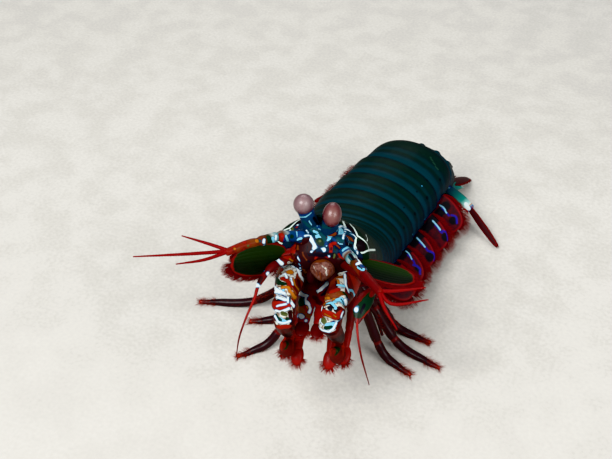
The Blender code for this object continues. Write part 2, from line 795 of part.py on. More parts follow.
def build_claws():
    for name, sign in (("left", 1), ("right", -1)):
        build_node(f"raptorial_merus_{name}", BANDED, [merus_shape(sign)])
        build_node(f"raptorial_carpus_{name}", BANDED, [carpus_shape(sign)],
                   [merus_shape(sign, GAP)])
        build_node(f"raptorial_propodus_{name}", BANDED, [propodus_shape(sign)],
                   [carpus_shape(sign, GAP), merus_shape(sign, GAP)])
        build_node(f"raptorial_dactyl_{name}", RED, [dactyl_shape(sign)],
                   [propodus_shape(sign, GAP)])


# Three pairs of maxillipeds behind the claws, each with a rounded hand

MAXILLIPED = {
    3: ((2.4, -11.0, -5.5), (2.2, -3.0, -12.0), (2.0, 2.0, -18.0)),
    4: ((4.6, -15.5, -5.5), (4.6, -13.2, -16.0), (4.4, -12.8, -25.0)),
    5: ((7.6, -20.0, -5.5), (8.2, -17.6, -16.0), (8.0, -15.8, -23.5)),
}
MAXILLIPED_RADII = (1.1, 1.3, 1.0, 0.9)
HAND_LENGTH = 5.5
HAND_HALF_WIDTH = 1.75
HAND_HALF_THICK = 0.9
HAND_BRISTLES = 3
HAND_BRISTLE_LENGTH = 2.2
BRISTLE_RADIUS = 0.32


def maxilliped_shapes(number, sign):
    route = [claw_point(sign, point) for point in MAXILLIPED[number]]
    limb = tube(route, MAXILLIPED_RADII, sides=6, count=6)
    heading = unit(route[-1] - route[-2])
    _, side, tailward, _ = AXIS.frame(0.0)
    hand = blob(route[-1] + heading * HAND_LENGTH * 0.4, (side, tailward, heading),
                (HAND_HALF_WIDTH, HAND_HALF_THICK, HAND_LENGTH / 2), rows=5, sides=6)
    shapes = [limb, hand]
    end = route[-1] + heading * HAND_LENGTH * 0.8
    for lean in np.linspace(-0.6, 0.6, HAND_BRISTLES):
        shapes.append(spine(end + side * lean, heading + side * lean, HAND_BRISTLE_LENGTH,
                            BRISTLE_RADIUS, bend=-tailward * 0.2))
    return shapes


def build_maxillipeds():
    for number in MAXILLIPED:
        for name, sign in (("left", 1), ("right", -1)):
            build_node(f"maxilliped_{number}_{name}", RED, maxilliped_shapes(number, sign),
                       [core_shape(GAP)])


# Walking legs, two-branched, under the last three thorax rings

LEG_FOOT = {
    ("left", 6): (29.9, -20.5), ("left", 7): (37.2, -14.7), ("left", 8): (31.8, -5.8),
    ("right", 6): (-21.4, -33.2), ("right", 7): (-24.2, -18.5), ("right", 8): (-43.1, -16.6),
}
LEG_ROOT_ACROSS = 6.0
LEG_ROOT_SUNK = 1.5
LEG_RADII = (1.25, 1.35, 1.15, 1.05, 0.95, 0.75)
BRANCH_RADII = (0.7, 0.55, 0.4)
BRANCH_OUT = 2.6
BRANCH_UP = 1.8

# Shares of the reach from root to foot at the knee and the shin: across, along, down
KNEE = (0.16, 0.12, 0.26)
SHIN = (0.52, 0.56, 0.86)
ANKLE_BACK = 4.5
ANKLE_LIFT = 0.35

# Bristles of a foot: how far back on it, lean to the side, rise
FOOT_BRISTLES = ((0.3, 0.5, 0.12), (0.4, -0.5, 0.12), (1.8, 0.1, 0.7))
FOOT_BRISTLE_LENGTH = 2.4


def leg_route(name, number):
    sign = 1 if name == "left" else -1
    start, end = thorax_span(number)
    middle = (start + end) / 2
    root = AXIS.place(middle, sign * LEG_ROOT_ACROSS, LEG_ROOT_SUNK - read_keys(BELLY, middle))
    foot = np.array([*LEG_FOOT[name, number], LEG_RADII[-1] / 2])
    foot[:2] += AXIS_PLACE
    reach = foot - root
    knee = root + np.array(KNEE) * reach
    shin = root + np.array(SHIN) * reach
    ankle = foot + unit((shin - foot) * (1, 1, 0)) * ANKLE_BACK + (0, 0, ANKLE_LIFT)
    return [root, knee, shin, ankle, foot]


def leg_shapes(name, number):
    route = leg_route(name, number)
    limb = tube(route, LEG_RADII, sides=6, count=9)
    start = route[1]
    offset = np.array([0.0, -BRANCH_OUT if number == 8 else BRANCH_OUT, BRANCH_UP])
    branch_end = route[1] + (route[2] - route[1]) * 0.9 + offset
    middle = (start + branch_end) / 2 + offset * 0.6
    branch = tube([start, middle, branch_end], BRANCH_RADII, sides=4, count=5)
    shapes = [limb, branch]
    forward = unit(route[-1] - route[-2])
    sideways = np.cross((0, 0, 1), forward)
    for back, lean, rise in FOOT_BRISTLES:
        root = route[-1] - forward * back + (0, 0, BRISTLE_RADIUS)
        heading = forward + lean * sideways + (0, 0, rise)
        shapes.append(spine(root, heading, FOOT_BRISTLE_LENGTH, BRISTLE_RADIUS, sunk=0.4))
    return shapes


def build_legs():
    rings = {number: segment_shape(*thorax_span(number), grow=GAP) for number in range(5, 9)}
    for name, number in LEG_FOOT:
        cutters = [rings[near] for near in (number - 1, number, number + 1) if near in rings]
        if number == 6:
            cutters.append(core_shape(GAP))
        build_node(f"walking_leg_{number}_{name}", MAROON, leg_shapes(name, number),
                   cutters + [ground_block()])


# Swimmerets: an outer and an inner paddle that hang from each abdomen ring

PADDLE_BEHIND = 1.0
PADDLE_ACROSS = 9.5
PADDLE_DOWN = 4.2
PADDLE_BASE = (1.6, 2.4, 2.6)
PADDLE_NORMAL = (0.25, -0.70, 0.66)
OUTER_ALONG = (0.86, -0.15, -0.49)
INNER_ALONG = (0.45, 0.10, -0.89)
OUTER_LENGTH = 16.0
OUTER_HALF_WIDTH = 5.2
OUTER_VANES = 12
INNER_LENGTH = 10.5
INNER_HALF_WIDTH = 3.6
INNER_VANES = 8
PADDLE_THICK = 0.9
PADDLE_FRINGE = 3.0

# Gill filaments under a swimmeret: how far out on it, length
GILLS = ((2.4, 4.8), (4.4, 4.0))
GILL_RADIUS = 0.4


def swimmeret_shapes(number, sign):
    start, end = abdomen_span(number)
    middle = (start + end) / 2 + PADDLE_BEHIND
    root = AXIS.place(middle, sign * PADDLE_ACROSS, -PADDLE_DOWN)
    normal = AXIS.direction(middle, sign * PADDLE_NORMAL[0], *PADDLE_NORMAL[1:])
    outer = AXIS.direction(middle, sign * OUTER_ALONG[0], *OUTER_ALONG[1:])
    inner = AXIS.direction(middle, sign * INNER_ALONG[0], *INNER_ALONG[1:])
    base = blob(root + inner, (normal, outer, inner), PADDLE_BASE, rows=4, sides=6)
    fringe = (PADDLE_FRINGE, PADDLE_FRINGE)
    shapes = [base,
              fringed_leaf(root, outer, np.cross(normal, outer), OUTER_LENGTH, OUTER_HALF_WIDTH,
                           PADDLE_THICK, OUTER_VANES, fringe, seed=10 * number),
              fringed_leaf(root, inner, np.cross(normal, inner), INNER_LENGTH, INNER_HALF_WIDTH,
                           PADDLE_THICK, INNER_VANES, fringe, seed=10 * number + 5)]
    for out, length in GILLS:
        heading = 0.45 * inner - 0.75 * normal - 0.1 * outer
        shapes.append(spine(root + outer * out + inner * 0.6, heading, length, GILL_RADIUS,
                            bend=0.35 * inner))
    return shapes


def build_swimmerets():
    for number in range(1, 6):
        cutters = [segment_shape(*abdomen_span(near), grow=GAP)
                   for near in (number - 1, number, number + 1) if 1 <= near <= 6]
        for name, sign in (("left", 1), ("right", -1)):
            build_node(f"swimmeret_{number}_{name}", RED, swimmeret_shapes(number, sign), cutters)


# Tail fan limbs, spread to both sides with the outer blades on the ground

TAIL_MIDDLE = (7.0, 62.0)
BLADE_HINGE = (21.0, -3.5, 5.4)
BLADE_TIP = (34.8, -16.0, 0.9)
BLADE_TILT = math.radians(40)
OUTER_ROOT = (12.2, -0.5, 9.2)
INNER_BLADE_ROOT = (10.5, 5.0, 6.6)
INNER_BLADE_TIP = (15.5, 19.5, 1.4)
STEM_LIMB_RADII = (1.9, 2.1, 2.0)
BLOCK_PLACE = (11.0, 1.5, 7.6)
BLOCK_SIZE = (3.0, 3.4, 2.4)
BLADE_THICK = 1.1
BLADE_HALF_WIDTH = 2.2
BLADE_VANES = 16
BLADE_FRINGE = 1.4
BLADE_SUNK = 3.2
INNER_BLADE_HALF_WIDTH = 2.4
INNER_BLADE_VANES = 14

# Spines on the outer edge of the outer limb's stem: share of its length, length
STEM_SPINES = ((0.55, 1.8), (0.68, 2.0), (0.81, 2.3), (0.94, 2.6))
STEM_SPINE_RADIUS = 0.42
STEM_EDGE = 1.5

# The forked prong of the block: across, tailward, height of its two tips
PRONG_TIPS = ((12.6, 15.5, 2.6), (15.2, 12.0, 2.2))
PRONG_ROOT = (12.0, 3.0, 6.4)
PRONG_RADIUS = 1.0


def tail_point(sign, point):
    return np.array([AXIS_PLACE[0] + TAIL_MIDDLE[0] + sign * point[0],
                     AXIS_PLACE[1] + TAIL_MIDDLE[1] + point[1], point[2]])


def exopod_shapes(sign):
    root = tail_point(sign, OUTER_ROOT)
    hinge = tail_point(sign, BLADE_HINGE)
    tip = tail_point(sign, BLADE_TIP)
    stem = tube([root, hinge], STEM_LIMB_RADII, sides=8, count=4, flat=0.6)
    heading = unit(tip - hinge)
    level = unit(np.cross((0, 0, 1), heading))
    wide = math.cos(BLADE_TILT) * level + sign * math.sin(BLADE_TILT) * np.cross(heading, level)
    length = np.linalg.norm(tip - hinge) + BLADE_SUNK - BLADE_FRINGE
    blade = fringed_leaf(hinge - heading * BLADE_SUNK, heading, wide, length, BLADE_HALF_WIDTH,
                         BLADE_THICK, BLADE_VANES, (BLADE_FRINGE, BLADE_FRINGE), seed=61)
    shapes = [stem, blade]
    out = unit(hinge - root)
    front = unit(np.cross(out, (0, 0, sign)))
    for share, spine_length in STEM_SPINES:
        place = root + (hinge - root) * share + front * STEM_EDGE
        shapes.append(spine(place, out + front * 0.55, spine_length, STEM_SPINE_RADIUS, sunk=0.8))
    return shapes


def block_shape(sign, grow=0.0):
    return blob(tail_point(sign, BLOCK_PLACE), np.eye(3), np.array(BLOCK_SIZE) + grow,
                rows=5, sides=8)


def endopod_shapes(sign):
    root = tail_point(sign, INNER_BLADE_ROOT)
    tip = tail_point(sign, INNER_BLADE_TIP)
    heading = unit(tip - root)
    length = np.linalg.norm(tip - root) - BLADE_FRINGE
    blade = fringed_leaf(root, heading, np.cross((0, 0, 1), heading), length,
                         INNER_BLADE_HALF_WIDTH, BLADE_THICK, INNER_BLADE_VANES,
                         (BLADE_FRINGE, BLADE_FRINGE), seed=67)
    shapes = [block_shape(sign), blade]
    for prong in PRONG_TIPS:
        start = tail_point(sign, PRONG_ROOT)
        reach = tail_point(sign, prong) - start
        shapes.append(spine(start, reach, np.linalg.norm(reach), PRONG_RADIUS, sides=4))
    return shapes


def build_tail_fan():
    tail = [segment_shape(*abdomen_span(6), grow=GAP), telson_shape(GAP), ground_block()]
    for name, sign in (("left", 1), ("right", -1)):
        build_node(f"uropod_inner_{name}", RED, endopod_shapes(sign), tail)
        build_node(f"uropod_outer_{name}", RED, exopod_shapes(sign),
                   tail + [block_shape(sign, GAP)])


def main():
    clear_scene()
    build_trunk()
    build_eyes()
    build_feelers()
    build_claws()
    build_maxillipeds()
    build_legs()
    build_swimmerets()
    build_tail_fan()


main()
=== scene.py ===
"""Visual model of a life-size mantis shrimp, head and claws raised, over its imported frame.

Sizes are millimetres and become metres where a piece is made. Shapes are numpy grids over
the body's axis or along limbs, plates and bristles. Colour marks are distances in
millimetres, stored on the points and cut to an edge in the finishes. The head points to -Y
and the animal's left side to +X.
"""
import logging
import math
from collections.abc import Callable
from dataclasses import dataclass, field
from enum import Enum
from functools import cached_property

import bpy
import numpy as np
from mathutils import Matrix

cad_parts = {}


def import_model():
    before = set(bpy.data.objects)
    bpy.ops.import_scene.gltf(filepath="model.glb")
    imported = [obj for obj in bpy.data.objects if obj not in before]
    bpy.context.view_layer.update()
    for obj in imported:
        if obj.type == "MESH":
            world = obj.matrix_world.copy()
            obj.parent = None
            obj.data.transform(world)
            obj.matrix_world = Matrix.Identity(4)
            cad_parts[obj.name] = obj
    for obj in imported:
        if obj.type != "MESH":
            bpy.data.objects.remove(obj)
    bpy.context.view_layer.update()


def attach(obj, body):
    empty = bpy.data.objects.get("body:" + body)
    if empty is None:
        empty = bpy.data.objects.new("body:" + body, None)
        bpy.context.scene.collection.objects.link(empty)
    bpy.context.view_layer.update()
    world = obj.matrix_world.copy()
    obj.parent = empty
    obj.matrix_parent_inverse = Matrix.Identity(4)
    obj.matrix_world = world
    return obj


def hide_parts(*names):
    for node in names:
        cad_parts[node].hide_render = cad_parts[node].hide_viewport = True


LOG = logging.getLogger("scene")
MM = 0.001
FAR = 9.0
BAKE_PATCH = 0.003
AROUND, TOP = 22, 7
ARCH = 0.85
Array = np.ndarray
Colour = tuple[float, float, float]
Keys = tuple[tuple[float, float], ...]
Point = tuple[float, float, float]
Route = tuple[Point, ...]
Stops = tuple[tuple[float, Colour], ...]
Object = bpy.types.Object
Socket = bpy.types.NodeSocket


class Side(Enum):
    """The animal's own sides, with the sign of their direction across."""

    LEFT = 1
    RIGHT = -1

    @property
    def label(self) -> str:
        """Name of the side in the names of nodes."""
        return self.name.lower()


# Small formulas

def by_side(right: object, left: object) -> dict[Side, object]:
    """Field of a dataclass with a value for the right side and one for the left."""
    return field(default_factory=lambda: {Side.RIGHT: right, Side.LEFT: left})


def tint(red: float, green: float, blue: float) -> Colour:
    """Linear colour of a screen colour from 0 to 255."""
    return tuple(((value / 255 + 0.055) / 1.055) ** 2.4 if value > 10 else value / 255 / 12.92
                 for value in (red, green, blue))


def stops(*rows: tuple[float, ...]) -> Stops:
    """Stops of a blend from rows of a value of its field and a screen colour."""
    return tuple((value, tint(*colour)) for value, *colour in rows)


def unit(vector: Array) -> Array:
    """Vectors of length one along the last axis."""
    vector = np.asarray(vector, dtype=float)
    return vector / np.maximum(np.linalg.norm(vector, axis=-1, keepdims=True), 1e-12)


def keyed(keys: Keys, at: Array) -> Array:
    """Values at places, straight between keys."""
    return np.interp(at, [key[0] for key in keys], [key[1] for key in keys])


def ease(value: Array) -> Array:
    """Smooth step from 0 to 1 as the value goes from 0 to 1."""
    value = np.clip(value, 0.0, 1.0)
    return value * value * (3 - 2 * value)


def edged(count: int, edge: float) -> Array:
    """Shares from 0 to 1, with three more close to each end to carry a rounded edge."""
    close = edge * np.array([0.0, 0.12, 0.4])
    return np.concatenate([close, np.linspace(edge, 1 - edge, count), 1 - close[::-1]])


def spread(value: Array, rows: int, columns: int) -> Array:
    """Values as a grid, from one value, a row, a column, a grid or its values in a line."""
    value = np.asarray(value, float)
    if value.size == rows * columns:
        return value.reshape(rows, columns)
    return np.broadcast_to(value, (rows, columns))


def cubic(a: Array, b: Array, c: Array, d: Array, u: Array) -> Array:
    """Places between b and c on the cubic whose slopes there are half of c - a and d - b."""
    return 0.5 * (2 * b + (c - a) * u + (2 * a - 5 * b + 4 * c - d) * u ** 2
                  + (3 * b - a - 3 * c + d) * u ** 3)


def curve(points: Array, at: Array) -> Array:
    """Points on a smooth curve through the given ones.

    Each stretch is the cubic through its two ends whose slopes are half the step between
    the neighbours on both sides, and places are shares of the length of the chords.

    Args:
        points: corner points, one a row.
        at: shares of the length.

    Returns:
        One point a share.
    """
    points = np.asarray(points, dtype=float)
    knots = np.concatenate([[0.0], np.cumsum(np.linalg.norm(np.diff(points, axis=0), axis=1))])
    knots /= knots[-1]
    padded = np.concatenate([[2 * points[0] - points[1]], points, [2 * points[-1] - points[-2]]])
    i = np.clip(np.searchsorted(knots, at, side="right") - 1, 0, len(points) - 2)
    u = ((at - knots[i]) / (knots[i + 1] - knots[i]))[:, None]
    return cubic(padded[i], padded[i + 1], padded[i + 2], padded[i + 3], u)


def to_spots(points: Array, centres: Array, radii: Array) -> Array:
    """Distance of points to the nearest of some balls, below zero inside them."""
    gaps = np.linalg.norm(points[:, None] - np.asarray(centres, float)[None], axis=2)
    return (gaps - np.asarray(radii, float)[None]).min(axis=1)


def to_lines(points: Array, lines: list[Array], half_width: float) -> Array:
    """Distance of points to the nearest of some bent lines, below zero within a width.

    The nearest place on each straight stretch is where the point's shadow falls on it, kept
    between its ends.

    Args:
        points: points in rows.
        lines: bent lines, each as corner points in rows.
        half_width: half of the lines' width.

    Returns:
        One distance a point.
    """
    best = np.full(len(points), FAR)
    for line in lines:
        line = np.asarray(line, float)
        start, step = line[:-1], np.diff(line, axis=0)
        reach = np.maximum((step ** 2).sum(1), 1e-9)
        share = np.einsum("nsk,sk->ns", points[:, None] - start[None], step) / reach
        near = start[None] + np.clip(share, 0, 1)[..., None] * step[None]
        best = np.minimum(best, np.linalg.norm(points[:, None] - near, axis=2).min(axis=1))
    return best - half_width


# The body's axis and cross section

@dataclass(frozen=True)
class Stance:
    """Sizes and angles of the trunk, equal to those of the solids."""

    pitch: Keys = ((0, 46), (31, 46), (41, 34), (51, 18), (62, 10), (73, 5), (95, -4),
                   (103, -3), (110, 38), (117, 48), (124, 30), (141, 28))
    turn: Keys = ((0, -12), (31, -12), (51, -6), (73, 6), (95, 13), (106, 11), (117, 4), (141, 0))
    half_width: Keys = ((-3, 11.0), (0, 11.8), (8, 13.4), (31, 14.8), (51, 15.8), (73, 16.6),
                        (95, 15.9), (106, 14.6), (117, 13.0))
    back: Keys = ((-3, 8.2), (0, 8.8), (8, 10.0), (31, 11.1), (51, 11.3), (73, 10.9), (95, 10.9),
                  (106, 10.3), (117, 7.6))
    belly: Keys = ((0, 6.5), (31, 7.0), (51, 6.5), (95, 6.0), (106, 5.5), (117, 4.0))
    core_width: Keys = ((-5.5, 3.6), (-4.5, 5.4), (-3, 7.3), (-1.5, 9.2), (-0.2, 10.5),
                        (1.5, 10.9), (8, 11.6), (31, 12.9))
    core_back: Keys = ((-5.5, 3.8), (-4.5, 5.2), (-3, 6.4), (-1.5, 7.3), (0, 7.9), (8, 8.6),
                       (31, 9.2))
    core_belly: Keys = ((-5.5, 3.0), (-4.5, 4.6), (-2, 6.0), (0, 6.4), (31, 7.0))
    place: Point = (1.4, -7.1, 23.0)
    hinge: float = 51.0
    carapace_end: float = 31.0
    thorax_step: float = 5.0
    abdomen_step: float = 11.0
    telson_start: float = 117.0
    telson_end: float = 140.0
    keels: tuple[float, ...] = (3, 5, 7, 9, 11)


class Trunk:
    """The bent axis of the animal and the smooth cross section round it."""

    STEP = 0.25
    FIRST, LAST = -10.0, 142.0
    LOW_ACROSS = (-0.985, -0.88, -0.56, 0.0, 0.56, 0.88, 0.985)
    LOW_DEPTH = (0.38, 0.62, 0.96, 1.0, 0.96, 0.62, 0.38)
    KEEL = 0.26

    def __init__(self, stance: Stance) -> None:
        """Runs the axis from its angles and smooths the corner points of the section."""
        self.sizes = stance
        self.stations = np.arange(self.FIRST, self.LAST, self.STEP)
        pitch = np.radians(keyed(stance.pitch, self.stations))
        turn = np.radians(keyed(stance.turn, self.stations))
        self.tailward = np.stack([np.sin(turn) * np.cos(pitch), np.cos(turn) * np.cos(pitch),
                                  -np.sin(pitch)], 1)
        self.side = np.stack([np.cos(turn), -np.sin(turn), 0 * turn], 1)
        self.upward = np.cross(self.side, self.tailward)
        steps = (self.tailward[:-1] + self.tailward[1:]) / 2 * self.STEP
        self.points = np.concatenate([[[0.0, 0.0, 0.0]], np.cumsum(steps, axis=0)])
        at_hinge = int(round((stance.hinge - self.FIRST) / self.STEP))
        self.points += np.array(stance.place) - self.points[at_hinge]
        turns = np.radians(np.linspace(0, 180, 15))
        corners = np.zeros((AROUND, 3))
        corners[:15, 0] = np.cos(turns)
        corners[:15, 1] = np.sin(turns) ** ARCH
        corners[15:, 0] = self.LOW_ACROSS
        corners[15:, 2] = self.LOW_DEPTH
        self.places = np.arange(0, AROUND + 0.001, 0.05)
        i = np.floor(self.places).astype(int)
        u = (self.places - i)[:, None]
        self.corners = cubic(*(corners[(i + k) % AROUND] for k in (-1, 0, 1, 2)), u)

    def frame(self, station: Array) -> tuple[Array, Array, Array, Array]:
        """Origin, side, tailward and upward directions at stations."""
        station = np.asarray(station, dtype=float)
        tables = (self.points, self.side, self.tailward, self.upward)
        rows = [np.stack([np.interp(station, self.stations, table[:, k]) for k in range(3)], -1)
                for table in tables]
        return rows[0], unit(rows[1]), unit(rows[2]), unit(rows[3])

    def place(self, station: Array, across: Array, height: Array) -> Array:
        """Points beside and over the axis at stations."""
        station, across, height = np.broadcast_arrays(station, across, height)
        origin, side, _, upward = self.frame(station)
        return origin + across[..., None] * side + height[..., None] * upward

    def section(self, place: Array) -> tuple[Array, Array, Array]:
        """Shares of width, back and belly at places 0 to 22 round the section."""
        place = np.mod(place, AROUND)
        return tuple(np.interp(place, self.places, self.corners[:, k]) for k in range(3))

    def skin(self, station: Array, place: Array, spread: Array = 0.0, core: bool = False,
             ) -> Array:
        """Points of the trunk's surface.

        A point lies across by its share of the half width and up by its share of the back's
        height less its share of the belly's depth, each grown by the spread.

        Args:
            station: stations along the axis.
            place: places round the section, 0 on the left, 7 on top, 14 on the right.
            spread: millimetres outward.
            core: takes the sizes of the head and flesh under the carapace.

        Returns:
            Points, with the shape of the arguments.
        """
        station, place, spread = np.broadcast_arrays(station, place, spread)
        sizes = self.sizes
        tables = ((sizes.core_width, sizes.core_back, sizes.core_belly) if core
                  else (sizes.half_width, sizes.back, sizes.belly))
        wide, back, belly = (keyed(table, station) + spread for table in tables)
        across, up, down = self.section(place)
        return self.place(station, across * wide, up * back - down * belly)

    def keel(self, place: Array) -> Array:
        """Height from 0 to 1 of the lengthwise keels at places round the section."""
        gaps = np.asarray(place)[..., None] - np.array(self.sizes.keels)
        return np.exp(-(gaps / self.KEEL) ** 2).sum(-1)

    @cached_property
    def head(self) -> tuple[Array, Array]:
        """Middle of the carapace's front, and directions across, forward and up there."""
        origin, side, tailward, upward = self.frame(0.0)
        return origin, np.stack([side, -tailward, upward])

    def at_head(self, points: Array) -> Array:
        """World points of points given across, forward and up at the head."""
        origin, axes = self.head
        return origin + np.asarray(points, dtype=float) @ axes

    def in_head(self, points: Array) -> Array:
        """Head places, across, forward and up, of world points."""
        origin, axes = self.head
        return (points - origin) @ axes.T

    def way(self, station: float, vectors: Array) -> Array:
        """World directions of directions given across, tailward and up at a station."""
        _, side, tailward, upward = self.frame(station)
        return np.asarray(vectors, dtype=float) @ np.stack([side, tailward, upward])


@dataclass(frozen=True)
class Camera:
    """The photo's camera: where it stands, where it looks and its lens."""

    place: Point = (0.0673, -0.2004, 0.2032)
    forward: Point = (-0.287, 0.710, -0.643)
    right: Point = (0.927, 0.375, 0.0)
    lens: float = 51.53
    sensor: float = 36.0
    width: int = 612
    height: int = 459

    def axes(self) -> Array:
        """Directions right, down and forward, one a row."""
        forward, right = unit(self.forward), unit(self.right)
        return np.array([right, np.cross(forward, right), forward])

    def pixels(self, points: Array) -> tuple[Array, Array]:
        """Places in the picture and depths of points."""
        seen = (points - np.array(self.place) / MM) @ self.axes().T
        scale = self.lens / self.sensor * self.width
        middle = np.array([self.width, self.height]) / 2
        return middle + scale * seen[:, :2] / seen[:, 2:], seen[:, 2]


@dataclass(frozen=True)
class Painter:
    """Puts strokes that are given by places in the photo on the surfaces seen there.

    The next and the lost distance are pixels, the depth is millimetres and the size is
    millimetres a pixel.
    """

    near: float = 1.3
    lost: float = 7.0
    deep: float = 2.5
    size: float = 0.29
    camera: Camera = Camera()

    def stick(self, points: Array, stroke: Array, reach: float) -> Array:
        """Line in space of a stroke on a cloud of surface points.

        Each place of the stroke, one a pixel, takes the surface point that is next to its
        ray among those hardly deeper than the nearest one there, and is dropped where none
        is close. The line is then smoothed over three places.

        Args:
            points: surface points in rows.
            stroke: places in the photo in rows.
            reach: the farthest that the line goes from its first point.

        Returns:
            Points in rows, or none.
        """
        steps = np.linalg.norm(np.diff(stroke, axis=0), axis=1)
        run = np.concatenate([[0.0], np.cumsum(steps)])
        at = np.linspace(0, run[-1], max(2, int(run[-1]) + 1))
        line = np.stack([np.interp(at, run, stroke[:, k]) for k in (0, 1)], 1)
        seen, depth = self.camera.pixels(points)
        gaps = np.linalg.norm(line[:, None] - seen[None], axis=2)
        cost = depth[None] + 50 * np.maximum(gaps - self.near, 0)
        front = depth[cost.argmin(1)]
        best = (gaps + 20 * np.maximum(depth[None] - front[:, None] - self.deep, 0)).argmin(1)
        kept = gaps[np.arange(len(line)), best] < self.lost
        stuck = points[best][kept]
        if len(stuck) > 2:
            stuck = np.concatenate([stuck[:1], (stuck[:-2] + stuck[1:-1] + stuck[2:]) / 3,
                                    stuck[-1:]])
        return stuck[np.linalg.norm(stuck - stuck[:1], axis=1) < reach]

    def paint(self, points: Array, groups: tuple[str, ...],
              mirror: Callable[[Array], Array] | None = None, reach: float = 30.0,
              ) -> dict[str, Array]:
        """Distances in millimetres to the strokes of each layer, less their half widths.

        Args:
            points: surface points, a grid or rows.
            groups: names of the groups of strokes.
            mirror: turns the strokes' lines into more lines of the same layer.
            reach: the farthest that a line goes from its first point.

        Returns:
            Values of one a point by the layers' names.
        """
        flat = points.reshape(-1, 3)
        fields: dict[str, Array] = {}
        for corner, layer, (half, *places) in (
                (corner, layer, stroke) for corner, layers in map(STROKES.get, groups)
                for layer, strokes in layers.items() for stroke in strokes):
            stroke = np.array(places, float).reshape(-1, 2) + corner
            if len(stroke) == 1:
                stroke = np.repeat(stroke, 2, axis=0) + [[0, 0], [0.1, 0]]
            line = self.stick(flat, stroke, reach)
            if len(line) > 1:
                lines = [line] if mirror is None else [line, mirror(line)]
                value = to_lines(flat, lines, half * self.size)
                fields[layer] = np.minimum(fields.get(layer, FAR), value)
        return fields


# Meshes

def tube_faces(rows: int, columns: int) -> tuple[Array, Array]:
    """Faces of a tube of rings, as point indices in rows, and the indices as a grid."""
    index = np.arange(rows * columns).reshape(rows, columns)
    around = np.roll(index, -1, axis=1)
    quads = np.stack([index[:-1], around[:-1], around[1:], index[1:]], -1).reshape(-1, 4)
    return quads, index


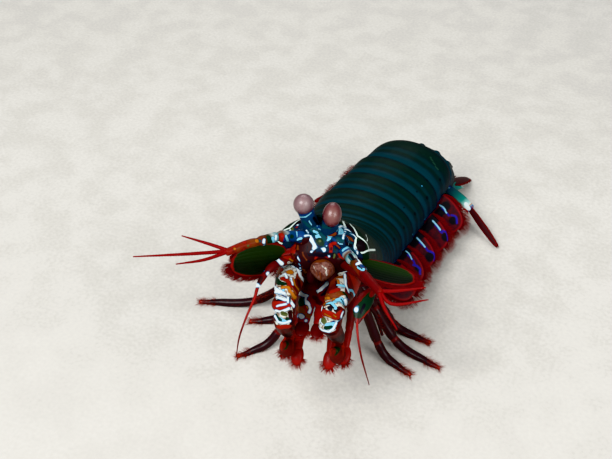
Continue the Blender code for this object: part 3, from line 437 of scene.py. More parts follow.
class Piece:
    """Closed grids, sheets and bristles gathered into one mesh with its colour fields."""

    def __init__(self, name: str) -> None:
        """Starts an empty piece of that name."""
        self.name = name
        self.points: list[Array] = []
        self.faces: list[Array] = []
        self.fields: list[dict[str, Array]] = []
        self.unwrap: list[Array] = []
        self.count = 0

    def add(self, points: Array, faces: list[Array], fields: dict[str, Array],
            unwrap: Array | None = None) -> None:
        """Adds points and faces, turned outward, with fields of one value a point.

        Args:
            points: points in rows.
            faces: arrays of point indices, one face a row.
            fields: values by name, broadcast to the points.
            unwrap: flat places of the points, for a fringe.
        """
        volume = 0.0
        for group in faces:
            for k in range(1, group.shape[1] - 1):
                a, b, c = points[group[:, 0]], points[group[:, k]], points[group[:, k + 1]]
                volume += np.einsum("ij,ij->i", a, np.cross(b, c)).sum()
        if volume < 0:
            faces = [group[:, ::-1] for group in faces]
        self.faces += [group + self.count for group in faces]
        self.points.append(points)
        self.fields.append({name: np.broadcast_to(np.asarray(value, float), len(points))
                            if np.ndim(value) == 0 else np.asarray(value, float).ravel()
                            for name, value in fields.items()})
        self.unwrap.append(np.zeros((len(points), 2)) if unwrap is None else unwrap)
        self.count += len(points)

    def add_grid(self, grid: Array, **fields: Array) -> None:
        """Adds a tube of rings, closed round the second axis and capped at both ends."""
        rows, columns, _ = grid.shape
        quads, index = tube_faces(rows, columns)
        around = np.roll(index, -1, axis=1)
        first, last = rows * columns, rows * columns + 1
        ends = np.concatenate([
            np.stack([np.full(columns, first), around[0], index[0]], -1),
            np.stack([np.full(columns, last), index[-1], around[-1]], -1)])
        points = np.concatenate([grid.reshape(-1, 3), grid[:1].mean(1), grid[-1:].mean(1)])
        given = {}
        for name, value in fields.items():
            value = spread(value, rows, columns)
            given[name] = np.concatenate([value.ravel(), [value[0].mean(), value[-1].mean()]])
        self.add(points, [quads, ends], given)

    def add_sheet(self, middle: Array, thick: float, **fields: Array) -> None:
        """Adds a closed sheet with rounded edges about a middle surface.

        Both faces stand half of the thickness off the middle surface along its normal, and
        the thickness falls to nothing at the border as on a half circle.

        Args:
            middle: grid of points of the middle surface.
            thick: thickness away from the border.
            fields: values of one a grid point, the same on both faces.
        """
        rows, columns, _ = middle.shape
        down = np.gradient(middle, axis=0)
        over = np.gradient(middle, axis=1)
        normal = unit(np.cross(down, over))

        def from_edge(axis: int) -> Array:
            """Distance to the nearer end of each line of the grid along an axis."""
            steps = np.linalg.norm(np.diff(middle, axis=axis), axis=2)
            first = np.zeros((1, columns) if axis == 0 else (rows, 1))
            run = np.concatenate([first, np.cumsum(steps, axis=axis)], axis=axis)
            whole = run[-1:, :] if axis == 0 else run[:, -1:]
            return np.minimum(run, whole - run)

        depth = np.minimum(from_edge(0), from_edge(1)) / (0.6 * thick)
        half = thick / 2 * np.sqrt(1 - (1 - np.clip(depth, 0.02, 1)) ** 2)
        upper = middle + normal * half[..., None]
        lower = middle - normal * half[..., None]
        ring = np.concatenate([upper, lower[:, ::-1]], axis=1)
        quads, index = tube_faces(rows, 2 * columns)
        a, b = index[:, :columns - 1], index[:, 1:columns]
        c, d = index[:, ::-1][:, 1:columns], index[:, ::-1][:, :columns - 1]
        ends = np.concatenate([np.stack([b[0], a[0], d[0], c[0]], -1),
                               np.stack([a[-1], b[-1], c[-1], d[-1]], -1)])
        both = {}
        for name, value in fields.items():
            value = spread(value, rows, columns)
            both[name] = np.concatenate([value, value[:, ::-1]], axis=1)
        self.add(ring.reshape(-1, 3), [quads, ends], both)

    def add_bristles(self, roots: Array, headings: Array, lengths: Array, widths: Array,
                     bends: Array, rows: int = 4, sides: int = 3,
                     unwrap: Array | None = None, **fields: Array) -> None:
        """Adds tapered bristles.

        The middle of a bristle is its root plus the heading times the way along it plus the
        bend times the square of that share, and its radius falls to nothing at the tip.

        Args:
            roots: root points in rows.
            headings: unit directions at the roots.
            lengths: one length a bristle.
            widths: radii at the roots.
            bends: sideways reach of the tips as shares of the length.
            rows: rings of a bristle below its tip.
            sides: sides of a bristle.
            unwrap: flat places of the roots.
            fields: one value a bristle.
        """
        count = len(roots)
        share = np.linspace(0, 1, rows, endpoint=False)
        reach = lengths[:, None, None] * np.append(share, 1.0)[None, :, None]
        curl = reach * np.append(share, 1.0)[None, :, None]
        spine = roots[:, None] + headings[:, None] * reach + bends[:, None] * curl
        across = unit(np.cross(headings, np.array([0.31, 0.17, 0.93])))
        over = np.cross(headings, across)
        turns = 2 * np.pi * np.arange(sides) / sides
        circle = (np.cos(turns)[None, :, None] * across[:, None]
                  + np.sin(turns)[None, :, None] * over[:, None])
        size = widths[:, None] * (1 - share ** 1.5)[None] * 0.9 + 0.1 * widths[:, None]
        rings = spine[:, :-1, None] + size[:, :, None, None] * circle[:, None]
        points = np.concatenate([rings.reshape(count, -1, 3), spine[:, -1:]], axis=1)
        each = rows * sides + 1
        quads, index = tube_faces(rows, sides)
        tips = np.stack([index[-1], np.roll(index[-1], -1), np.full(sides, each - 1)], -1)
        base = index[:1, ::-1]
        start = (np.arange(count) * each)[:, None, None]
        faces = [(group[None] + start).reshape(-1, group.shape[1])
                 for group in (quads, tips, base)]
        along = np.append(np.repeat(share, sides), 1.0)
        given = {"tip": np.broadcast_to(along, (count, each))}
        for name, value in fields.items():
            given[name] = np.broadcast_to(np.asarray(value, float)[:, None], (count, each))
        flat = None
        if unwrap is not None:
            spin = np.append(np.tile(np.arange(sides) / sides, rows), 0.5)
            patch = BAKE_PATCH * np.stack([spin, along], -1)
            flat = (unwrap[:, None] + patch[None]).reshape(-1, 2)
        self.add(points.reshape(-1, 3), faces, given, flat)

    def make(self, finish: "Finish", slot: str, nodes: tuple[str, ...] = (),
             fringe: bool = False) -> Object:
        """Makes the object, dresses it, hangs it under the root and hides the solids that it
        replaces.

        Args:
            finish: finish of the whole piece.
            slot: the record's material slot; not used.
            nodes: the solids that the piece replaces.
            fringe: keeps the flat places of the bristles as a map.

        Returns:
            The object, at the origin.
        """
        points = np.concatenate(self.points)
        loops = np.concatenate([group.ravel() for group in self.faces])
        sizes = np.concatenate([np.full(len(group), group.shape[1]) for group in self.faces])
        mesh = bpy.data.meshes.new(self.name)
        mesh.vertices.add(len(points))
        mesh.vertices.foreach_set("co", (points * MM).ravel())
        mesh.loops.add(len(loops))
        mesh.loops.foreach_set("vertex_index", loops.astype(np.int32))
        mesh.polygons.add(len(sizes))
        starts = np.concatenate([[0], np.cumsum(sizes)[:-1]])
        mesh.polygons.foreach_set("loop_start", starts.astype(np.int32))
        mesh.update(calc_edges=True)
        named = {name for part in self.fields for name in part}
        for name in sorted(named | {mark.name for mark in finish.marks}):
            fill = FAR if name in {mark.name for mark in finish.marks} else 0.0
            values = np.concatenate([part.get(name, np.full(len(at), fill))
                                     for part, at in zip(self.fields, self.points)])
            layer = mesh.attributes.new(name, "FLOAT", "POINT")
            layer.data.foreach_set("value", values.astype(np.float32))
        if fringe:
            flat = np.concatenate(self.unwrap)[loops]
            layer = mesh.uv_layers.new(name="OFBake")
            layer.data.foreach_set("uv", flat.ravel().astype(np.float32))
        mesh.shade_smooth()
        mesh.materials.append(finish.material())
        piece = bpy.data.objects.new(self.name, mesh)
        bpy.context.scene.collection.objects.link(piece)
        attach(piece, "root")
        if nodes:
            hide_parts(*nodes)
        LOG.info("%s: %d points, %d faces", self.name, len(points), len(sizes))
        return piece


@dataclass(frozen=True)
class Limb:
    """Rounded limb along a smooth route, with radii at even shares of its length."""

    route: Array
    radii: tuple[float, ...]
    flat: float = 1.0
    lay: Array | None = None
    joints: tuple[float, ...] = ()
    pinch: float = 0.16
    blunt: float = 0.6

    def lines(self, at: Array) -> tuple[Array, Array, Array, Array]:
        """Middle points, directions, and directions across and over at shares."""
        middle = curve(self.route, np.clip(at, 0, 1))
        near = 0.004
        along = unit(curve(self.route, np.clip(at + near, 0, 1))
                     - curve(self.route, np.clip(at - near, 0, 1)))
        lay = np.linalg.svd(along)[2][-1] if self.lay is None else self.lay
        across = unit(np.cross(along, np.asarray(lay, float)))
        return middle, along, across, np.cross(along, across)

    def radius(self, at: Array) -> Array:
        """Radius at shares, smooth between the keys and narrowed at the joints."""
        places = np.linspace(0, 1, len(self.radii))
        size = np.interp(at, places, self.radii)
        if len(self.radii) > 2:
            keys = np.stack([100 * places, self.radii, 0 * places], 1)
            size = 0.5 * (size + curve(keys, np.clip(at, 0, 1))[:, 1])
        for joint in self.joints:
            size = size * (1 - self.pinch * np.exp(-((at - joint) / 0.025) ** 2)
                           + 0.5 * self.pinch * np.exp(-((at - joint + 0.06) / 0.04) ** 2))
        return size

    def grid(self, rows: int, sides: int) -> tuple[Array, Array]:
        """Closed skin of the limb with its own places.

        A ring's point stands off the middle by the radius, less along the flattened
        direction. The ends are parts of an oval ball.

        Args:
            rows: rings between the ends.
            sides: points of a ring.

        Returns:
            Grid of points and the share along at each.
        """
        bend = np.radians([84, 66, 46, 24])
        at = np.concatenate([np.zeros(4), np.linspace(0, 1, rows), np.ones(4)])
        cap = np.concatenate([-np.sin(bend), np.zeros(rows), np.sin(bend[::-1])])
        fill = np.concatenate([np.cos(bend), np.ones(rows), np.cos(bend[::-1])])
        middle, along, across, over = self.lines(at)
        size = self.radius(at)
        middle = middle + along * (cap * size * self.blunt)[:, None]
        turns = 2 * np.pi * np.arange(sides) / sides
        reach = (size * fill)[:, None]
        grid = (middle[:, None] + (reach * np.cos(turns))[..., None] * across[:, None]
                + (reach * self.flat * np.sin(turns))[..., None] * over[:, None])
        return grid, np.broadcast_to(at[:, None], grid.shape[:2])

    def on_skin(self, at: Array, turn: Array) -> tuple[Array, Array]:
        """Points on the limb and directions away from its middle."""
        middle, _, across, over = self.lines(at)
        outward = (np.cos(turn)[:, None] * across
                   + self.flat * np.sin(turn)[:, None] * over)
        return middle + self.radius(at)[:, None] * outward, unit(outward)


def ball(centre: Point, axes: Array, sizes: Array, rows: int = 28, sides: int = 40) -> Array:
    """Grid of an oval ball, poles on its third axis."""
    tilt = np.pi * (np.arange(rows) + 0.5) / rows
    turns = 2 * np.pi * np.arange(sides) / sides
    axes, sizes = unit(axes), np.asarray(sizes, float)
    flat = np.stack([np.sin(tilt)[:, None] * np.cos(turns), np.sin(tilt)[:, None] * np.sin(turns),
                     np.broadcast_to(np.cos(tilt)[:, None], (rows, sides))], -1)
    return np.asarray(centre, float) + (flat * sizes) @ axes


@dataclass(frozen=True)
class Plate:
    """Thin oval plate, crowned, from its root along one way, with a fringe round its edge."""

    root: Array
    along: Array
    wide: Array
    length: float
    half_width: float
    bow: float = 0.0
    blunt: float = 0.75

    def axes(self) -> tuple[Array, Array, Array]:
        """Directions along, across and off the plate."""
        along = unit(self.along)
        wide = unit(self.wide - along * np.dot(self.wide, along))
        return along, wide, np.cross(along, wide)

    def on_plate(self, share: Array, across: Array) -> Array:
        """Points at shares of the length and millimetres across, lifted by the bow."""
        along, wide, normal = self.axes()
        share, across = np.broadcast_arrays(share, across)
        lift = self.bow * (4 * share * (1 - share) + 0.5 * (1 - (across / self.half_width) ** 2))
        return (self.root + along * (self.length * share)[..., None] + wide * across[..., None]
                + normal * lift[..., None])

    def outline(self, turn: Array) -> tuple[Array, Array]:
        """Share and place across on the edge at turns from the root round the tip."""
        across = self.half_width * np.sign(np.sin(turn)) * np.abs(np.sin(turn)) ** self.blunt
        return (1 - np.cos(turn)) / 2, across

    def grid(self, rows: int, columns: int) -> tuple[Array, Array, Array, Array]:
        """Middle surface with share along, side from -1 to 1 and distance to the edge."""
        turn = np.pi * (0.02 + 0.96 * np.linspace(0, 1, rows))
        side = np.sin(np.pi / 2 * np.linspace(-1, 1, columns))
        share, across = self.outline(turn)
        flat = np.stack([np.broadcast_to(share[:, None], (rows, columns)) * self.length,
                         across[:, None] * side], -1)
        edge = np.stack(self.outline(np.linspace(0, 2 * np.pi, 160)), -1)
        edge[:, 0] *= self.length
        rim = np.linalg.norm(flat[:, :, None] - edge[None, None], axis=3).min(2)
        middle = self.on_plate(flat[..., 0] / self.length, flat[..., 1])
        return middle, flat[..., 0] / self.length, np.broadcast_to(side, rim.shape), rim

    def fringe(self, piece: Piece, count: int, reach: tuple[float, float], bare: float,
               width: float, seed: int, lean: float = 0.3) -> None:
        """Adds bristles round the edge, leaning towards the tip, to a piece.

        A bristle heads from a point behind its root on the plate through the root, and its
        length varies slowly round the edge and a little from bristle to bristle.

        Args:
            piece: piece that takes the bristles.
            count: number of bristles.
            reach: lengths on both sides of the plate.
            bare: share of the edge at the root without bristles.
            width: radius of a bristle.
            seed: seed of the random draws.
            lean: how far the bristles lean to the tip.
        """
        draw = np.random.default_rng(seed)
        turn = np.pi * bare + 2 * np.pi * (1 - bare) * (np.arange(count) + 0.5) / count
        turn = turn + draw.normal(0, 0.004, count)
        share, across = self.outline(turn)
        root = self.on_plate(share, across * 0.985)
        behind = self.on_plate(np.clip(share - lean, -0.2, 1), across * 0.25)
        _, wide, normal = self.axes()
        heading = unit(unit(root - behind) + draw.normal(0, 0.06, (count, 3)))
        sides = np.where(np.sin(turn) > 0, reach[0], reach[1])
        ends = np.clip((turn / np.pi - bare) / 0.12, 0.25, 1) * np.clip(
            (2 - bare - turn / np.pi) / 0.12, 0.25, 1)
        waves = 1 + 0.07 * np.sin(turn * 9 + seed) + 0.04 * np.sin(turn * 23 + seed)
        length = sides * ends * waves * draw.uniform(0.86, 1.04, count)
        bend = (self.axes()[0] * 0.12 + normal * draw.normal(0, 0.10, (count, 1))
                + wide * draw.normal(0, 0.03, (count, 1)))
        root = root + normal * draw.uniform(-0.14, 0.14, (count, 1))
        flat = 0.5 + 0.45 * np.stack([across / self.half_width, 2 * share - 1], -1)
        piece.add_bristles(root, heading, length, np.full(count, width), bend, rows=4, sides=3,
                           unwrap=flat, strand=draw.random(count))


# Finishes

@dataclass(frozen=True)
class Mark:
    """Patch of colour where a field lies below an edge."""

    name: str
    colour: Colour
    edge: float = 0.0
    soft: float = 0.06
    wobble: float = 0.12
    grain: float = 1.2
    amount: float = 1.0
    line: float = 0.0
    line_colour: Colour = (0.035, 0.008, 0.006)
    line_amount: float = 0.85
    flecks: float = 0.0
    fleck_size: float = 0.7
    fleck_edges: tuple[float, float] = (0.52, 0.58)
    fleck_colour: Colour = (0.12, 0.04, 0.012)


@dataclass(frozen=True)
class Blend:
    """Colours at values of a field, mixed between them."""

    name: str
    stops: Stops
    wobble: float = 0.0
    grain: float = 1.5
    amount: float = 1.0


@dataclass(frozen=True)
class Finish:
    """Look of one material: base and mottling, colours by fields, marks, gloss and grain."""

    name: str
    base: Colour
    mottle: Colour
    speck: float = 1.5
    blends: tuple[Blend, ...] = ()
    marks: tuple[Mark, ...] = ()
    roughness: float = 0.38
    coat: float = 0.25
    grain: float = 0.35
    depth: float = 0.03
    specular: float = 0.4
    mottle_edges: tuple[float, float] = (0.38, 0.62)
    grain_shade: float = 0.30
    rough_span: float = 0.16
    coat_roughness: float = 0.16

    def material(self) -> bpy.types.Material:
        """Builds the node graph.

        The base mixes with the mottling by noise, then each blend's ramp and each mark's
        patch lie over the last, the field moved by noise before it is cut.

        Returns:
            The material.
        """
        known = bpy.data.materials.get(self.name)
        if known is not None:
            return known
        graph = Graph(self.name)
        noise = graph.noise(self.speck, 4.0)
        colour = graph.mix(graph.step(noise, *self.mottle_edges), self.base, self.mottle)
        for blend in self.blends:
            value = graph.wobbled(blend.name, blend.wobble, blend.grain)
            ramp = graph.ramp(value, blend.stops)
            colour = graph.mix(blend.amount, colour, ramp)
        for mark in self.marks:
            value = graph.wobbled(mark.name, mark.wobble, mark.grain)
            if mark.line:
                wide = mark.edge + mark.line
                cut = graph.step(value, wide + mark.soft, wide - mark.soft)
                colour = graph.mix(graph.calc("MULTIPLY", cut, mark.line_amount), colour,
                                   mark.line_colour)
            shade = mark.colour
            if mark.flecks:
                speckle = graph.step(graph.noise(mark.fleck_size, 2.0), *mark.fleck_edges)
                shade = graph.mix(graph.calc("MULTIPLY", speckle, mark.flecks), shade,
                                  mark.fleck_colour)
            cut = graph.step(value, mark.edge + mark.soft, mark.edge - mark.soft)
            colour = graph.mix(graph.calc("MULTIPLY", cut, mark.amount), colour, shade)
        fine = graph.noise(self.grain, 3.0)
        colour = graph.mix(graph.calc("MULTIPLY", fine, self.grain_shade), colour, (0.0, 0.0, 0.0))
        shader = graph.shader
        graph.link(colour, shader.inputs["Base Color"])
        rough = graph.calc("MULTIPLY_ADD", noise, self.rough_span,
                           self.roughness - self.rough_span / 2)
        graph.link(rough, shader.inputs["Roughness"])
        shader.inputs["Coat Weight"].default_value = self.coat
        shader.inputs["Coat Roughness"].default_value = self.coat_roughness
        shader.inputs["Specular IOR Level"].default_value = self.specular
        graph.bump(fine, noise, self.depth)
        return graph.material


class Graph:
    """Node graph of a material, with short calls for the nodes that the finishes use."""

    BROAD_SHARE = 0.6

    def __init__(self, name: str) -> None:
        """Starts a material with its shader."""
        self.material = bpy.data.materials.new(name)
        self.material.use_nodes = True
        self.tree = self.material.node_tree
        self.shader = self.tree.nodes["Principled BSDF"]
        self.coords = self.tree.nodes.new("ShaderNodeTexCoord").outputs["Object"]

    def link(self, source: object, target: object) -> None:
        """Links an output or sets a constant or colour on an input."""
        if isinstance(source, Socket):
            self.tree.links.new(source, target)
        elif isinstance(source, tuple):
            target.default_value = (*source, 1.0)
        else:
            target.default_value = source

    def calc(self, kind: str, *values: object) -> Socket:
        """Result of a sum on outputs and constants."""
        node = self.tree.nodes.new("ShaderNodeMath")
        node.operation = kind
        for value, target in zip(values, node.inputs):
            self.link(value, target)
        return node.outputs[0]

    def noise(self, size: float, detail: float) -> Socket:
        """Noise with features of about a size in millimetres."""
        node = self.tree.nodes.new("ShaderNodeTexNoise")
        self.link(self.coords, node.inputs["Vector"])
        node.inputs["Scale"].default_value = 1 / (size * MM)
        node.inputs["Detail"].default_value = detail
        return node.outputs["Fac"]

    def field(self, name: str) -> Socket:
        """Value of a field of the mesh."""
        node = self.tree.nodes.new("ShaderNodeAttribute")
        node.attribute_name = name
        return node.outputs["Fac"]

    def wobbled(self, name: str, wobble: float, grain: float) -> Socket:
        """Field moved by up to half a wobble either way by noise."""
        if wobble == 0:
            return self.field(name)
        moved = self.calc("MULTIPLY_ADD", self.noise(grain, 2.0), wobble, -wobble / 2)
        return self.calc("ADD", self.field(name), moved)

    def step(self, value: object, low: float, high: float) -> Socket:
        """Smooth step from 0 at the low value to 1 at the high one."""
        node = self.tree.nodes.new("ShaderNodeMapRange")
        node.interpolation_type = "SMOOTHSTEP"
        self.link(value, node.inputs["Value"])
        turned = low > high
        node.inputs["From Min"].default_value = min(low, high)
        node.inputs["From Max"].default_value = max(low, high)
        node.inputs["To Min"].default_value = 1.0 if turned else 0.0
        node.inputs["To Max"].default_value = 0.0 if turned else 1.0
        return node.outputs["Result"]

    def mix(self, share: object, first: object, second: object) -> Socket:
        """Mix of two colours."""
        node = self.tree.nodes.new("ShaderNodeMix")
        node.data_type = "RGBA"
        self.link(share, node.inputs[0])
        self.link(first, node.inputs[6])
        self.link(second, node.inputs[7])
        return node.outputs[2]

    def ramp(self, value: object, stops: Stops) -> Socket:
        """Colour at a value, with the stops at values of the field."""
        low, high = stops[0][0], stops[-1][0]
        node = self.tree.nodes.new("ShaderNodeValToRGB")
        self.link(self.calc("MULTIPLY_ADD", value, 1 / (high - low), -low / (high - low)),
                  node.inputs["Fac"])
        elements = node.color_ramp.elements
        while len(elements) < len(stops):
            elements.new(0.5)
        for element, (place, colour) in zip(elements, stops):
            element.position = (place - low) / (high - low)
            element.color = (*colour, 1.0)
        return node.outputs["Color"]

    def bump(self, fine: object, broad: object, depth: float) -> None:
        """Bump of two noises, its depth in millimetres."""
        node = self.tree.nodes.new("ShaderNodeBump")
        node.inputs["Distance"].default_value = depth * MM
        self.link(self.calc("MULTIPLY_ADD", broad, self.BROAD_SHARE, fine),
                  node.inputs["Height"])
        self.link(node.outputs["Normal"], self.shader.inputs["Normal"])


# Colours by what carries them

BLACK = tint(8, 8, 12)
CYAN = tint(120, 205, 225)
WHITE_NET = tint(206, 222, 214)
LAYERS = (
    Mark("crimson", tint(88, 8, 9), soft=0.3, wobble=0.5),
    Mark("pale", tint(190, 192, 182), soft=0.12, wobble=0.5, flecks=0.75),
    Mark("maroon", tint(38, 8, 10), soft=0.12, wobble=0.4),
    Mark("brown", tint(104, 48, 20), soft=0.10, wobble=0.3),
    Mark("red", tint(132, 20, 9), soft=0.10, wobble=0.35, line=0.10),
    Mark("azure", tint(8, 50, 104), soft=0.12, wobble=0.4),
    Mark("teal", tint(7, 56, 64), soft=0.14, wobble=0.4),
    Mark("gold", tint(158, 94, 28), soft=0.12, wobble=0.35, line=0.12),
    Mark("cyan", tint(116, 186, 210), wobble=0.2, line=0.12),
    Mark("green", tint(12, 38, 22), wobble=0.25), Mark("ink", tint(12, 8, 18), wobble=0.2),
    Mark(
        "white", tint(222, 232, 234), soft=0.09, wobble=0.25, line=0.16,
        line_colour=tint(70, 130, 164)),
    Mark("olive", tint(78, 86, 52), wobble=0.2))
